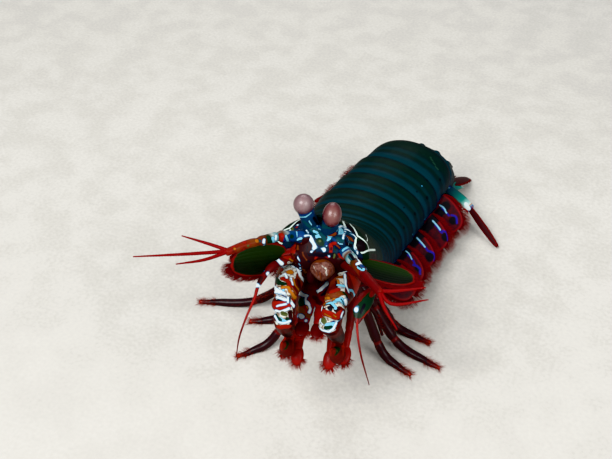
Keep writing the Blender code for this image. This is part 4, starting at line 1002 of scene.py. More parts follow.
# Strokes by what carries them and by layer: half width, then places in the photo's pixels
# from the corner that each group names
STROKES = {
    "collar": ((343, 221), {
        "white": ((0.55, 0, 0, 3, 7, 8, 12, 13, 17, 12, 24, 14, 32),),
        "ink": ((2, 6, 7, 10, 12),),
        "brown": ((0.8, 7, 17, 10, 20),)}),
    "crest": ((343, 221), {
        "ink": ((2.4, 5, 5, 10, 11), (4.6, 18, 24, 19, 26), (1.6, 18, 10, 21, 14), (2.6, 29, 35,
            37, 37)),
        "net": ((0.85, 0, 0, 3, 7, 8, 12, 13, 17), (0.7, 1, 0, 6, 2, 11, 7, 15, 15), (0.8, 15,
            15, 21, 19, 25, 24, 26, 29), (0.8, 13, 17, 12, 24, 14, 32, 20, 32, 26, 29), (0.9, 26,
            29, 33, 29, 41, 34), (0.5, 23, 14, 25, 18, 24, 20))}),
    "face": ((278, 219), {
        "teal": ((3, 32, 7, 40, 15, 46, 18), (1, 56, 28), (2.2, 60, 21, 63, 22), (2, 72, 23, 74,
            24), (1, 45, 24, 46, 28)),
        "azure": ((2, 34, 0, 44, 12), (1.3, 48, 21, 49, 26), (3.6, 9, 19, 23, 15), (0.9, 53, 19,
            57, 21)),
        # The second and third cyan strokes are painted highlights, thin glints on the face; the
        # others are its own cyan spots.
        "cyan": ((1, 35, 12, 40, 14), (0.5, 36, 5, 40, 7), (0.5, 41, 10, 45, 12), (0.6, 48, 17,
            54, 18), (0.7, 49, 22), (0.7, 48, 27), (3.6, 61, 10, 63, 15), (1, 8, 17, 12, 14),
            (0.8, 19, 21, 23, 19), (0.6, 38, 17, 43, 17), (0.5, 60, 24, 64, 25)),
        "ink": ((1.2, 27, 7, 30, 13, 32, 17), (0.6, 55, 27, 54, 31), (1, 66, 17, 68, 23), (1.4,
            68, 25, 75, 27), (4, 83, 27), (2, 74, 12), (1.6, 36, 35, 58, 36), (1.4, 0, 16, 6, 9,
            13, 2), (0.4, 29, 27, 31, 35, 30, 43), (0.8, 31, 43, 32, 53)),
        "white": ((0.6, 23, 1, 27, 7, 30, 14), (0.6, 27, 17, 32, 16, 34, 20), (1.1, 34, 22, 37,
            27, 39, 30), (1.2, 44, 31, 46, 30), (0.9, 58, 11, 63, 7, 66, 5), (0.7, 66, 6, 67, 12,
            65, 19), (0.7, 32, 34), (0.7, 52, 38), (0.6, 2, 15, 8, 8, 14, 3), (1, 13, 4, 20, 2),
            (0.8, 16, 1, 20, 6), (0.5, 20, 38, 22, 45, 23, 51)),
        "green": ((3, 41, 21, 43, 24), (1.6, 56, 30), (1.8, 14, 18)),
        "olive": ((1.2, 42, 21), (0.8, 56, 35, 57, 39), (1.6, 14, 9, 15, 11)),
        "brown": ((2.2, 51, 15, 56, 15), (2.2, 69, 18, 70, 20), (1.4, 78, 25, 79, 30), (0.6, 23,
            24, 22, 31), (1.2, 11, 6), (1, 25, 6), (0.5, 24, 47, 26, 57), (0.4, 25, 33, 27, 43),
            (0.4, 28, 51, 29, 61), (0.4, 15, 35, 18, 43), (0.8, 59, 26, 62, 29)),
        "red": ((1.3, 57, 24, 52, 26, 51, 30, 53, 34), (2.6, 63, 36, 66, 38), (1.6, 16, 27, 14,
            32), (1.4, 19, 8), (1.2, 12, 12), (0.6, 18, 28, 17, 34), (1, 37, 38, 41, 37), (0.8,
            46, 37, 51, 38), (1.4, 12, 37, 15, 41)),
        # The first two maroon strokes fill the dark side of the face beside the mouth: its own
        # maroon with painted shade.
        "maroon": ((5.2, 19, 27, 23, 39), (4.2, 28, 23, 32, 35), (4, 37, 40, 58, 41)),
        "pale": ((0.4, 33, 33, 34, 37),)}),
    "stalks": ((298, 213), {
        "azure": ((3, 0, 3, 15, 0),),
        "cyan": ((0.7, 1, 4, 8, 4, 13, 0), (0.5, 11, 8, 14, 12)),
        "ink": ((1.6, 16, 5, 20, 11),),
        "teal": ((1.5, 6, 9, 12, 14), (2, 24, 13, 32, 15))}),
    "feeler_right": ((229, 232), {
        "azure": ((4, 73, 5, 58, 7),),
        "cyan": ((1.3, 68, 0, 70, 8), (1.2, 57, 4, 60, 12), (1.6, 44, 6, 44, 13), (0.9, 0, 20)),
        "green": ((2, 63, 5), (2.4, 40, 6, 41, 13)),
        "brown": ((0.8, 63, 5), (1.3, 40, 9), (2.6, 24, 8, 23, 18), (1.6, 10, 12, 9, 22)),
        "red": ((2.6, 52, 4, 53, 11), (2, 15, 10, 14, 20), (2, 4, 14, 3, 23)),
        "white": ((0.9, 47, 4, 46, 14), (1, 35, 8, 35, 16)),
        "teal": ((1.2, 31, 8, 31, 16),),
        "gold": ((1.6, 28, 9, 28, 17), (0.9, 6, 17)),
        "olive": ((1.1, 19, 14),)}),
    "feeler_left": ((343, 247), {
        "azure": ((2.4, 0, 3, 5, 0, 9, 2), (0.6, 1, 5, 6, 2, 9, 5), (2, 19, 19, 26, 17)),
        "cyan": ((1.3, 0, 3, 5, 0, 10, 2), (1.2, 30, 17, 28, 21, 20, 23, 15, 20)),
        "ink": ((1.4, 7, 7, 11, 12), (0.6, 15, 18, 19, 22)),
        "teal": ((1.8, 7, 10, 9, 12),),
        "white": ((1.5, 11, 5, 15, 11, 18, 16), (1.2, 14, 17, 19, 15, 26, 12, 30, 16)),
        "red": ((1.3, 18, 20, 23, 19),),
        "olive": ((1.2, 20, 14, 24, 13),),
        "crimson": ((6.5, 21, 27, 31, 45),)}),
    "lip": ((312, 257), {
        "brown": ((2.2, 1, 5, 13, 3, 25, 7), (0.5, 8, 15, 9, 23), (0.4, 3, 11, 6, 19), (0.4, 19,
            11, 17, 19)),
        "maroon": ((2.6, 0, 0, 24, 1), (0.35, 9, 16, 10, 22)),
        "pale": ((0.45, 14, 11, 15, 20), (0.4, 1, 9, 5, 16), (0.5, 10, 9, 13, 12))}),
    "claw_right": ((271, 256), {
        "pale": ((8, 18, 12, 12, 28), (7.5, 13, 30, 14, 42), (3, 27, 11, 30, 21), (7.5, 13, 56,
            13, 62)),
        "maroon": ((4, 2, 6, 0, 19), (1.2, 25, 6, 25, 11), (3, 28, 26, 30, 36), (0.6, 6, 47, 13,
            46), (0.5, 7, 52, 15, 51), (2, 19, 56, 21, 68), (0.7, 15, 44, 16, 47), (5, 8, 78, 19,
            80), (2.2, 22, 74, 21, 80)),
        "brown": ((3.2, 6, 12, 9, 15), (1.2, 20, 15), (1.8, 2, 40, 4, 39), (1, 15, 28, 20, 32,
            24, 38), (0.8, 6, 31, 12, 30), (0.9, 17, 20, 18, 23), (1, 8, 16, 11, 19)),
        "red": ((1.2, 10, 9, 11, 15), (4, 14, 0, 20, 4), (2, 11, 22, 17, 25, 20, 31), (1.6, 31,
            28, 32, 36), (1.8, 22, 43), (2.3, 2, 48, 10, 47, 18, 49), (2, 3, 52, 17, 52), (2.4,
            8, 71, 18, 71)),
        "white": ((1.8, 4, 2, 12, 9), (1, 13, 11, 19, 7, 23, 11), (1.8, 27, 11, 29, 19, 33, 25),
            (0.8, 8, 21, 14, 17, 16, 22), (0.6, 20, 22, 22, 29), (1.3, 1, 28, 6, 34), (1, 4, 36,
            11, 36, 15, 39), (1, 6, 41, 15, 44), (0.7, 17, 41, 17, 46), (1.2, 21, 47, 23, 50),
            (0.5, 6, 50, 15, 48), (1, 1, 53, 9, 56, 18, 53), (0.7, 4, 59, 7, 66, 14, 67, 19, 65)),
        "gold": ((3.4, 19, 16), (1, 22, 22, 24, 29, 28, 34), (1.3, 11, 31, 17, 32, 21, 36, 24,
            42)),
        "green": ((2.2, 2, 20, 8, 27, 14, 28), (1.5, 5, 59, 7, 62, 10, 64), (1.4, 16, 63, 17,
            63)),
        "azure": ((0.8, 8, 38, 15, 41), (0.6, 5, 6, 10, 10), (0.6, 4, 33, 8, 35)),
        "ink": ((1, 6, 44, 13, 44), (0.7, 19, 40, 19, 46)),
        "olive": ((2.2, 12, 57, 14, 58),),
        "cyan": ((1.2, 10, 63, 14, 65), (0.8, 9, 34, 13, 35))}),
    "claw_left": ((316, 262), {
        "pale": ((3.6, 25, 2, 25, 28), (6, 14, 39, 26, 39), (8.5, 11, 54, 11, 60)),
        "red": ((8, 40, 4, 42, 38), (2.2, 15, 30, 22, 27), (2.8, 5, 50, 13, 52, 21, 56, 25, 51)),
        "crimson": ((3, 34, 8, 36, 26),),
        "ink": ((3.6, 15, 9, 10, 28), (0.9, 22, 4, 28, 4), (0.8, 34, 32, 37, 36), (0.5, 25, 37,
            27, 44), (0.6, 10, 43, 14, 42, 18, 46), (1.7, 13, 46, 15, 47)),
        "white": ((1.3, 24, 0, 25, 2), (1.6, 21, 10, 24, 6, 29, 9), (0.9, 29, 12, 30, 24, 33,
            30), (1.4, 29, 38, 31, 42), (1.8, 2, 46, 5, 46), (0.6, 27, 50, 25, 56, 21, 59), (0.6,
            3, 56, 7, 62), (0.7, 0, 63, 6, 68, 13, 70, 18, 66, 20, 61)),
        "brown": ((2.8, 20, 15, 29, 15), (2.4, 22, 30, 27, 31), (2.4, 5, 39, 12, 34, 20, 35), (2,
            6, 42, 8, 43), (1, 18, 34, 24, 34), (0.8, 28, 45, 31, 45)),
        "gold": ((0.9, 22, 18, 23, 22), (0.9, 29, 14, 30, 19), (1.4, 6, 39, 11, 36, 20, 37),
            (0.5, 9, 52, 15, 55), (0.5, 18, 53, 20, 55), (0.7, 10, 66, 14, 66)),
        "cyan": ((1.6, 22, 23, 29, 24), (1.2, 33, 28, 37, 29, 39, 35), (1.6, 19, 40, 22, 37, 26,
            37, 27, 42), (1.3, 11, 42, 15, 40, 20, 46), (1.5, 10, 63, 19, 62)),
        "green": ((1.6, 28, 31, 31, 34), (1.6, 9, 66, 15, 65)),
        "maroon": ((2.3, 20, 47, 24, 49), (0.6, 10, 49, 16, 52), (0.9, 20, 19, 21, 26), (0.8, 5,
            45, 9, 47), (1.6, 1, 69, 10, 74, 18, 71), (5, 17, 78, 27, 76), (2.4, 27, 65, 30, 74)),
        "olive": ((2.4, 7, 58, 8, 59), (1.2, 2, 62)),
        "azure": ((0.6, 22, 9, 26, 10), (0.6, 23, 26, 28, 26), (0.7, 15, 61, 19, 59), (0.6, 30,
            35, 33, 38))}),
    "tip_right": ((281, 336), {
        "red": ((1.8, 0, 0, 0, 14), (1.8, 12, 0, 12, 12)),
        "green": ((3.4, 6, 5, 6, 11),)}),
    "tip_left": ((330, 341), {
        "red": ((2, 0, 0, 0, 14), (2, 13, 0, 13, 13)),
        "green": ((3.8, 7, 5, 7, 11),),
        "olive": ((1.2, 7, 10),)}),
    "straps": ((298, 283), {
        "white": ((1.8, 0, 9, 8, 13), (1, 8, 13, 8, 20), (2.2, 2, 33, 4, 34), (1.1, 9, 18, 13,
            26, 11, 29), (1.2, 8, 38, 14, 35), (2.1, 20, 9, 30, 0)),
        "green": ((3.4, 3, 17, 4, 20),),
        "brown": ((1.6, 3, 18), (3, 1, 25, 4, 28), (2.2, 7, 32, 11, 33)),
        "gold": ((0.9, 9, 23, 11, 26),),
        "ink": ((1.9, 25, 12, 36, 0),),
        "maroon": ((2.4, 16, 14, 22, 20),)}),
    "left_joint": ((345, 257), {
        "white": ((0.8, 13, 45, 10, 53),),
        "ink": ((1, 15, 46, 12, 55),),
        "brown": ((1.4, 0, 0, 7, 9),)}),
    "left_blade": ((356, 293), {
        "green": ((5, 17, 3, 1, 21),),
        "red": ((1.5, 24, 0, 17, 11, 5, 26),),
        "white": ((1.6, 5, 9, 3, 13, 0, 17),),
        "ink": ((1.2, 9, 10, 5, 20),)}),
    "right_joint": ((256, 257), {
        "white": ((1.5, 8, 15, 12, 17), (1.6, 0, 28, 4, 30), (1.6, 19, 1, 26, 7)),
        "cyan": ((0.9, 5, 13, 7, 13),),
        "maroon": ((2, 6, 20, 3, 25),),
        "red": ((2, 29, 0, 34, 1),),
        "pale": ((1.1, 32, 5, 36, 7),),
        "brown": ((1, 27, 5, 30, 9),),
        "gold": ((0.7, 34, 2, 37, 4),)}),
    "flank": ((404, 158), {
        "ink": ((1.4, 0, 50), (1.4, 12, 34), (1.4, 23, 23)),
        "cyan": ((0.8, 20, 61), (0.8, 8, 76), (0.8, 17, 28)),
        "olive": ((1.2, 26, 0, 33, 12),)}),
    "paddles": ((396, 205), {
        "ink": ((5.5, 50, 1, 0, 57), (5, 57, 15), (5.6, 50, 32), (5.6, 34, 52), (4.6, 20, 66)),
        "violet": ((1.1, 55, 10, 59, 11, 61, 14, 61, 18), (1.1, 47, 26, 51, 27, 54, 30, 54, 35),
            (1.1, 32, 46, 36, 47, 39, 50, 39, 56), (1.1, 17, 60, 21, 61, 24, 64, 24, 69), (1.1,
            46, 3, 50, 7, 53, 11), (1.1, 39, 20, 43, 24, 46, 28), (1.1, 23, 37, 28, 41, 31, 45),
            (0.9, 12, 50, 16, 54, 19, 59)),
        "glint": ((0.9, 44, 0, 48, 3, 51, 8), (0.9, 37, 16, 41, 20, 44, 25), (0.9, 21, 33, 25,
            37, 29, 42), (0.7, 10, 46, 13, 49, 16, 54))}),
    "fan": ((444, 177), {
        "azure": ((0.8, 9, 0, 13, 7), (0.8, 0, 11, 5, 18)),
        "white": ((2.6, 22, 27, 26, 34),),
        "cyan": ((1.6, 26, 37, 27, 42),),
        "gold": ((0.7, 28, 29, 29, 35),)}),
}

RING_STOPS = stops((0.0, 11, 3, 6), (0.07, 8, 6, 9), (0.12, 4, 19, 26), (0.18, 4, 46, 59),
    (0.32, 4, 42, 53), (0.38, 4, 21, 27), (0.42, 10, 24, 18), (0.5, 12, 23, 15), (0.55, 6, 37, 40),
    (0.63, 6, 35, 40), (0.68, 6, 18, 18), (0.72, 14, 26, 16), (0.86, 15, 27, 18),
    (0.93, 5, 13, 13), (1.0, 14, 3, 6))
RING = Finish(
    "ring_armour", tint(8, 44, 48), tint(8, 28, 32), 2.0,
    blends=(
        Blend("front", RING_STOPS, 0.08, 3.0, 0.9),
        Blend("flank", stops((0.0, 10, 32, 27), (0.5, 6, 30, 35), (0.78, 5, 29, 61),
            (1.0, 4, 13, 35)), 0.12, 2.0, 0.3)),
    marks=(
        Mark("belly", tint(70, 14, 18), soft=0.3, wobble=0.5),
        Mark("keel_spot", BLACK, soft=0.14, wobble=0.5, amount=0.8),
        Mark("dot", CYAN, soft=0.1, wobble=0.2, amount=0.6),
        Mark("dash_edge", tint(10, 16, 96), soft=0.1),
        Mark("dash", tint(140, 190, 216), soft=0.08),
        Mark("ink", BLACK, soft=0.14, wobble=0.3, amount=0.85),
        Mark("cyan", tint(90, 160, 200), soft=0.1, wobble=0.2),
        Mark("olive", tint(60, 82, 70), soft=0.1, wobble=0.2, amount=0.5)),
    roughness=0.50, coat=0.02, grain=0.3, depth=0.04, specular=0.07)
SHIELD = Finish(
    "shield", tint(7, 25, 21), tint(12, 32, 22), 2.0,
    blends=(
        Blend("along", stops((0.0, 13, 27, 15), (8.0, 8, 30, 24), (16.0, 6, 35, 35),
            (24.0, 8, 29, 24), (29.0, 5, 37, 44), (31.0, 4, 10, 13)), 2.5, 2.5, 0.85),),
    marks=(
        Mark("ink", tint(14, 6, 10), soft=0.2, wobble=0.3),
        Mark("net", WHITE_NET, soft=0.06, wobble=0.08)),
    roughness=0.55, coat=0.04, grain=0.3, depth=0.04, specular=0.14)
# The mouth mark paints the lower head dark maroon: partly its own colour, partly painted shade
# under the head.
FACE = Finish(
    "face", tint(6, 26, 56), tint(6, 38, 54), 1.3,
    marks=(Mark("mouth", tint(30, 9, 10), soft=0.5, wobble=0.8),) + LAYERS, roughness=0.55,
    coat=0.03, grain=0.25, depth=0.05, specular=0.15)
STALK = Finish(
    "stalk", tint(7, 36, 74), tint(7, 46, 70), 1.0,
    blends=(
        Blend("share", stops((0.0, 6, 26, 50), (0.55, 7, 38, 74), (1.0, 12, 60, 108)), 0.15, 1.0,
            0.6),),
    marks=LAYERS, roughness=0.55, coat=0.04, grain=0.25, depth=0.04, specular=0.16)


def eye_finish(name: str, stops: tuple[Colour, ...]) -> Finish:
    """Finish of one eye, darker at the rim and paler in the middle of what the camera sees, as
    painted shade and painted light.
    """
    hidden = ((-1.0, stops[2]), (-0.4, stops[2]))
    seen = tuple(zip((0.0, 0.15, 0.45, 0.75, 1.0), stops))
    return Finish(name, stops[2], stops[3], 0.5,
                  blends=(Blend("rim", hidden + seen, 0.14, 0.8, 0.9),),
                  marks=(Mark("band", tint(120, 70, 74), soft=0.10, wobble=0.06, amount=0.22),),
                  roughness=0.36, coat=0.25, grain=0.13, depth=0.02, specular=0.35)


# Eye colours from dark to pale: painted shade at the rim, painted light in the middle facing the
# camera.
EYE = {
    Side.RIGHT: eye_finish(
        "eye_pale",
        (
            tint(55, 25, 32), tint(73, 38, 45), tint(103, 71, 76), tint(123, 98, 101),
            tint(138, 118, 118))),
    Side.LEFT: eye_finish(
        "eye_rosy",
        (
            tint(46, 17, 22), tint(61, 25, 30), tint(85, 43, 46), tint(105, 63, 63),
            tint(121, 86, 80)))}
SCALE = Finish(
    "feeler_scale", tint(16, 40, 6), tint(24, 50, 8), 1.4,
    blends=(
        Blend("cross", stops((-1.0, 22, 40, 7), (-0.4, 15, 32, 6), (0.05, 8, 15, 5),
            (0.45, 6, 7, 5), (1.0, 6, 6, 6)), 0.18, 2.5, 0.9),),
    marks=(
        Mark("rim", tint(112, 10, 8), edge=0.42, soft=0.10, wobble=0.1),
        Mark("red", tint(140, 16, 10), soft=0.1)),
    roughness=0.5, coat=0.06, grain=0.3, depth=0.05, specular=0.18)
FRINGE = Finish(
    "fringe", tint(104, 7, 11), tint(128, 12, 13), 0.8,
    blends=(
        Blend("tip", stops((0.0, 52, 5, 9), (0.5, 94, 7, 11), (1.0, 132, 20, 17)),
            0.0, 1.0, 0.7),),
    roughness=0.6, coat=0.0, grain=0.2, depth=0.01, specular=0.12)
PADDLE = Finish(
    "paddle", tint(46, 6, 14), tint(70, 7, 15), 1.4,
    marks=(
        Mark("rim", tint(108, 9, 13), edge=0.7, soft=0.3, wobble=0.3),
        Mark("spot", tint(8, 6, 12), soft=0.25, wobble=0.3),
        Mark("arc", tint(30, 24, 110), soft=0.12, wobble=0.2),
        Mark("ink", tint(9, 5, 11), soft=0.3, wobble=0.3),
        Mark("violet", tint(34, 30, 136), soft=0.12, wobble=0.15),
        Mark("glint", tint(130, 190, 216), soft=0.08, wobble=0.1)),
    roughness=0.55, coat=0.04, grain=0.3, depth=0.05, specular=0.16)
RED_LIMB = Finish(
    "red_limb", tint(96, 8, 8), tint(124, 14, 10), 0.8,
    blends=(
        Blend("share", stops((0.0, 58, 8, 9), (0.35, 74, 9, 9), (0.55, 140, 16, 11),
            (0.66, 136, 16, 11), (0.8, 84, 8, 10), (1.0, 76, 8, 10)), 0.1, 1.0, 0.8),),
    marks=LAYERS, roughness=0.5, coat=0.06, grain=0.25, depth=0.04, specular=0.2)
LEG = Finish(
    "leg", tint(36, 6, 11), tint(50, 8, 12), 1.0,
    blends=(
        Blend("share", stops((0.0, 46, 6, 10), (0.9, 30, 5, 10), (0.97, 84, 13, 12),
            (1.0, 160, 32, 14)), 0.06, 1.0, 0.9),),
    marks=(Mark("cuff", tint(110, 16, 14), soft=0.15, wobble=0.3, amount=0.6),), roughness=0.45,
    coat=0.10, grain=0.25, depth=0.04, specular=0.25)
BANDED = Finish(
    "banded_limb", tint(120, 134, 128), tint(96, 118, 118), 0.8,
    blends=(
        Blend("share", stops((0.0, 7, 46, 92), (0.22, 9, 58, 104), (0.26, 140, 158, 158),
            (0.32, 98, 50, 20), (0.4, 90, 142, 148), (0.46, 166, 172, 166), (0.5, 50, 42, 20),
            (0.6, 92, 34, 14), (0.7, 108, 36, 12), (1.0, 116, 16, 10)), 0.03, 0.9, 1.0),),
    marks=LAYERS + (Mark("whip", tint(120, 10, 11), edge=0.5, wobble=0.0),), roughness=0.48,
    coat=0.03, grain=0.25, depth=0.04, specular=0.14)
CLAW = Finish(
    "claw", tint(100, 11, 9), tint(68, 12, 9), 0.9,
    blends=(
        Blend("share", stops((0.0, 58, 10, 10), (0.35, 96, 22, 12), (0.5, 64, 12, 10),
            (0.7, 116, 42, 18), (0.85, 68, 14, 10), (1.0, 80, 10, 10)), 0.35, 2.0, 0.6),),
    marks=LAYERS, roughness=0.52, coat=0.02, grain=0.25, depth=0.04, specular=0.10)
CLAW_TIP = Finish(
    "claw_tip", tint(104, 10, 9), tint(70, 10, 8), 1.2,
    blends=(
        Blend("share", stops((0.0, 60, 12, 9), (0.3, 84, 9, 8), (0.6, 92, 9, 8),
            (1.0, 130, 18, 11)), 0.1, 1.0, 0.8),),
    marks=LAYERS, roughness=0.65, coat=0.0, grain=0.25, depth=0.05, specular=0.04)
LIP = Finish(
    "lip", tint(122, 88, 80), tint(82, 48, 42), 0.8,
    marks=(Mark("stripe", tint(104, 62, 50), soft=0.15, wobble=0.3, amount=0.45),) + LAYERS,
    roughness=0.6, coat=0.0, grain=0.25, depth=0.05, specular=0.1)
TAIL = Finish(
    "tail_plate", tint(8, 38, 36), tint(20, 44, 28), 1.8,
    marks=(
        Mark("ridge", tint(42, 70, 42), edge=-0.45, soft=0.3, wobble=0.2, amount=0.6),
        Mark("margin", tint(96, 18, 14), soft=0.4, wobble=0.5, amount=0.8)),
    roughness=0.48, coat=0.08, grain=0.3, depth=0.06, specular=0.22)
FAN_STEM = Finish(
    "fan_stem", tint(8, 64, 68), tint(8, 48, 72), 1.2,
    blends=(
        Blend("share", stops((0.0, 7, 38, 66), (0.35, 6, 82, 80), (0.62, 12, 122, 110),
            (0.8, 150, 200, 194), (0.9, 206, 216, 212), (0.94, 180, 110, 38), (0.97, 78, 176, 206),
            (1.0, 26, 52, 140)), 0.05, 1.0, 0.95),),
    marks=(
        Mark("azure", tint(16, 58, 150), soft=0.1), Mark("white", tint(212, 222, 222), soft=0.1),
        Mark("cyan", tint(80, 186, 212), soft=0.1), Mark("gold", tint(180, 110, 38), soft=0.1),
        Mark("thorn", tint(126, 22, 16), edge=0.5, wobble=0.0),
        Mark("inside", tint(52, 7, 11), edge=0.5, wobble=0.0),
        Mark("rim", tint(104, 10, 11), edge=0.35, soft=0.12)),
    roughness=0.5, coat=0.06, grain=0.25, depth=0.04, specular=0.2)
FLOOR = Finish(
    "floor", tint(200, 197, 190), tint(208, 205, 198), 14.0, roughness=0.8, coat=0.0, grain=1.2,
    depth=0.05, specular=0.2)
PAINTER = Painter()


# Trunk

@dataclass(frozen=True)
class Ring:
    """One ring of armour: a shell with hanging side plates over a soft belly."""

    name: str
    slot: str
    start: float
    end: float
    hang: float = 2.1
    keel: float = 0.0
    shell: float = 0.6
    overlap: float = 0.9
    tuck: float = 0.75
    flare: float = 0.40
    spines: bool = False

    def lift(self, run: Array) -> Array:
        """Height over the plain section: tucked in at the front, flared at the rear."""
        length = self.end - self.start
        rise = ease((run - 0.10 * length) / (0.22 * length))
        return -self.tuck + 0.72 * rise + self.flare * ease(run / length) ** 2

    def build(self, trunk: Trunk) -> Object:
        """Builds the shell, the belly and the spines of the ring.

        The shell's half plan is the section's arch down to a hang that is round at the
        front and rear corners, so that the side plates have rounded ends.

        Args:
            trunk: the body's axis and section.

        Returns:
            The ring's object.
        """
        piece = Piece(self.name + "_skin")
        length = self.end - self.start
        rows = 30 if length > 6 else 18
        share = edged(rows, 0.03)
        cross = edged(100, 0.012)
        run = share * (length + self.overlap)
        arch = np.sin(np.pi * np.clip(share * 0.94 + 0.04, 0, 1)) ** 0.6
        hang = self.hang * (0.45 + 0.55 * arch)
        place = -hang[:, None] + 2 * (TOP + hang[:, None]) * cross[None]
        flank = np.abs(place - TOP) / (TOP + self.hang)
        station = self.start + run[:, None] + 0.9 * flank ** 6 * share[:, None]
        lift = self.lift(run)[:, None] + self.keel * trunk.keel(place) * ease(run / 3)[:, None]
        middle = trunk.skin(station, place, lift - self.shell / 2)
        points = middle.reshape(-1, 3)
        front = np.broadcast_to(share[:, None], place.shape)
        spots = trunk.skin(self.start + 0.55 * length, np.array([1.9, 12.1]), 0.2)
        dots = trunk.skin(self.start + np.array([0.35, 0.35, 0.7, 0.7]) * length,
                          np.array([-0.2, 14.2, 0.6, 13.4]), 0.3)
        dash = [trunk.skin(self.start + np.array([0.30, 0.85]) * length, np.array(ends), 0.2)
                for ends in ((-1.0, -1.5), (15.0, 15.5))]
        long_ring = length > 6
        piece.add_sheet(
            middle, self.shell, front=front, flank=flank,
            keel_spot=to_spots(points, spots, [0.8, 0.8]) if long_ring else FAR,
            dot=to_spots(points, dots, [0.42, 0.42, 0.35, 0.35]) if long_ring else FAR,
            dash=to_lines(points, dash, 0.42) if long_ring else FAR,
            dash_edge=to_lines(points, dash, 0.85) if long_ring else FAR,
            **PAINTER.paint(points, ("flank",) if long_ring else ()))
        around = np.linspace(0, AROUND, 72, endpoint=False)
        inner = np.linspace(self.start - 0.6, self.end + 0.6, 12)
        upper = np.clip(np.abs(np.mod(around - TOP, AROUND) - AROUND / 2) - 2.4, 0, 1)
        bulge = 0.25 * np.sin(np.pi * np.linspace(0.02, 0.98, 12))[:, None]
        grid = trunk.skin(inner[:, None], around[None], -0.35 - 1.3 * upper[None] + bulge)
        piece.add_grid(grid, front=0.0, flank=1.0, belly=-1.0)
        if self.spines:
            self.add_spines(piece, trunk)
        return piece.make(RING, self.slot, (self.name,))

    def add_spines(self, piece: Piece, trunk: Trunk) -> None:
        """Adds a spine on each keel at the rear edge."""
        places = np.array([place for place in trunk.sizes.keels if place != TOP], float)
        roots = trunk.skin(self.end + 0.2, places, 0.35 + self.keel * 0.6)
        _, _, tailward, upward = trunk.frame(self.end)
        count = len(places)
        piece.add_bristles(roots - tailward * 0.6, np.tile(tailward, (count, 1)),
                           np.full(count, 2.3), np.full(count, 0.5),
                           np.tile(upward * -0.05, (count, 1)), rows=6, sides=8,
                           strand=np.zeros(count))


@dataclass(frozen=True)
class Part:
    """Sub-assembly on the body's axis, with its sizes in millimetres as fields."""

    trunk: Trunk


@dataclass(frozen=True)
class Shield(Part):
    """The carapace with its grooves and netted corners, and the plate ahead of it."""

    low: float = -14.0
    high: float = 194.0
    thick: float = 1.0
    front_corner: float = 2.4
    turned_in: float = 3.8
    swell: float = 3.0
    groove: float = 0.4
    plate_wide: float = 3.6
    plate_long: float = 5.2
    plate_high: float = 8.75

    def surface(self, share: Array, degrees: Array) -> tuple[Array, Array]:
        """Points and stations of the outer face at shares of its length and angles.

        The front edge runs forward towards the sides by a bell of the angle. From there the
        face swells to its full size along a quarter of an oval, so that the shoulders are
        round, and the grooves lie where the cosine of the angle is at their share of the
        half width.

        Args:
            share: below 0 on the rounded shoulder, then 0 to 1 to the rear.
            degrees: angle from the animal's left over the top.

        Returns:
            Points and their stations.
        """
        trunk, sizes = self.trunk, self.trunk.sizes
        turn = np.radians(degrees)
        flank = np.abs(degrees - 90) / 104
        front = -self.front_corner * np.exp(-((flank - 0.66) / 0.22) ** 2)
        front = front + 4.0 * np.clip((flank - 0.84) / 0.16, 0, 1) ** 2
        rear = sizes.carapace_end - 0.3 - 1.6 * np.clip((flank - 0.8) / 0.2, 0, 1) ** 2
        swell = np.radians(90) * np.clip(-share, 0, 1)
        long = self.swell
        inward = (0.9 + self.turned_in * ease((flank - 0.22) / 0.3)) * (1 - np.cos(swell))
        station = front + long * (1 - np.sin(swell)) + (rear - front - long) * np.clip(share, 0, 1)
        wide = keyed(sizes.half_width, station)
        back = keyed(sizes.back, station)
        groove = self.groove * np.exp(-((np.abs(np.cos(turn)) - 0.42) / 0.06) ** 2)
        groove = groove * ease((station - 1) / 6)
        neck = 0.35 * np.exp(-((station - 19) / 0.8) ** 2) * np.exp(-(flank / 0.5) ** 4)
        rise = np.sign(np.sin(turn)) * np.abs(np.sin(turn)) ** ARCH
        size = groove + neck + inward - 0.1 * (1 - ease((1 - share) * 30))
        points = trunk.place(station, (wide - size) * np.cos(turn), (back - size) * rise)
        return points, station

    def build(self) -> list[Object]:
        """Builds the shield and the plate ahead of it."""
        piece = Piece("carapace_skin")
        share = np.concatenate([-np.linspace(1, 0, 30, endpoint=False), edged(110, 0.012)])
        cross = edged(240, 0.006)
        degrees = self.low + (self.high - self.low) * cross
        points, station = self.surface(share[:, None], degrees[None])
        normal = unit(np.cross(np.gradient(points, axis=0), np.gradient(points, axis=1)))
        outward = np.sign(np.einsum("ijk,ijk->ij", normal, points - self.trunk.place(
            station, 0.0, 0.0)))
        middle = points - normal * (outward * self.thick / 2)[..., None]
        piece.add_sheet(middle, self.thick, along=station,
                        **PAINTER.paint(points, ("crest",), self.mirror, 8.5))
        shield = piece.make(SHIELD, "carapace", ("carapace",))
        return [shield, self.plate()]

    def mirror(self, points: Array) -> Array:
        """Points turned over to the other side of the head."""
        return self.trunk.at_head(self.trunk.in_head(points) * (-1, 1, 1))

    def plate(self) -> Object:
        """Builds the small pointed plate over the roots of the eye stalks."""
        piece = Piece("rostral_plate_skin")
        share = edged(30, 0.03)[:, None]
        side = edged(30, 0.03)[None] * 2 - 1
        spread = self.plate_wide * (1 - share ** 2.6) ** 0.6 * (1 - 0.1 * share)
        forward = -0.5 + self.plate_long * share + 0 * side
        fold = 0.25 * np.exp(-(side / 0.12) ** 2) * share
        height = self.plate_high - 0.12 * share - 0.55 * (side * (1 - 0.4 * share)) ** 2 + fold
        local = np.stack([side * spread, forward, height], -1)
        piece.add_sheet(self.trunk.at_head(local), 0.8, along=14 + 6 * share + 0 * side)
        return piece.make(SHIELD, "rostral_plate", ("rostral_plate",))


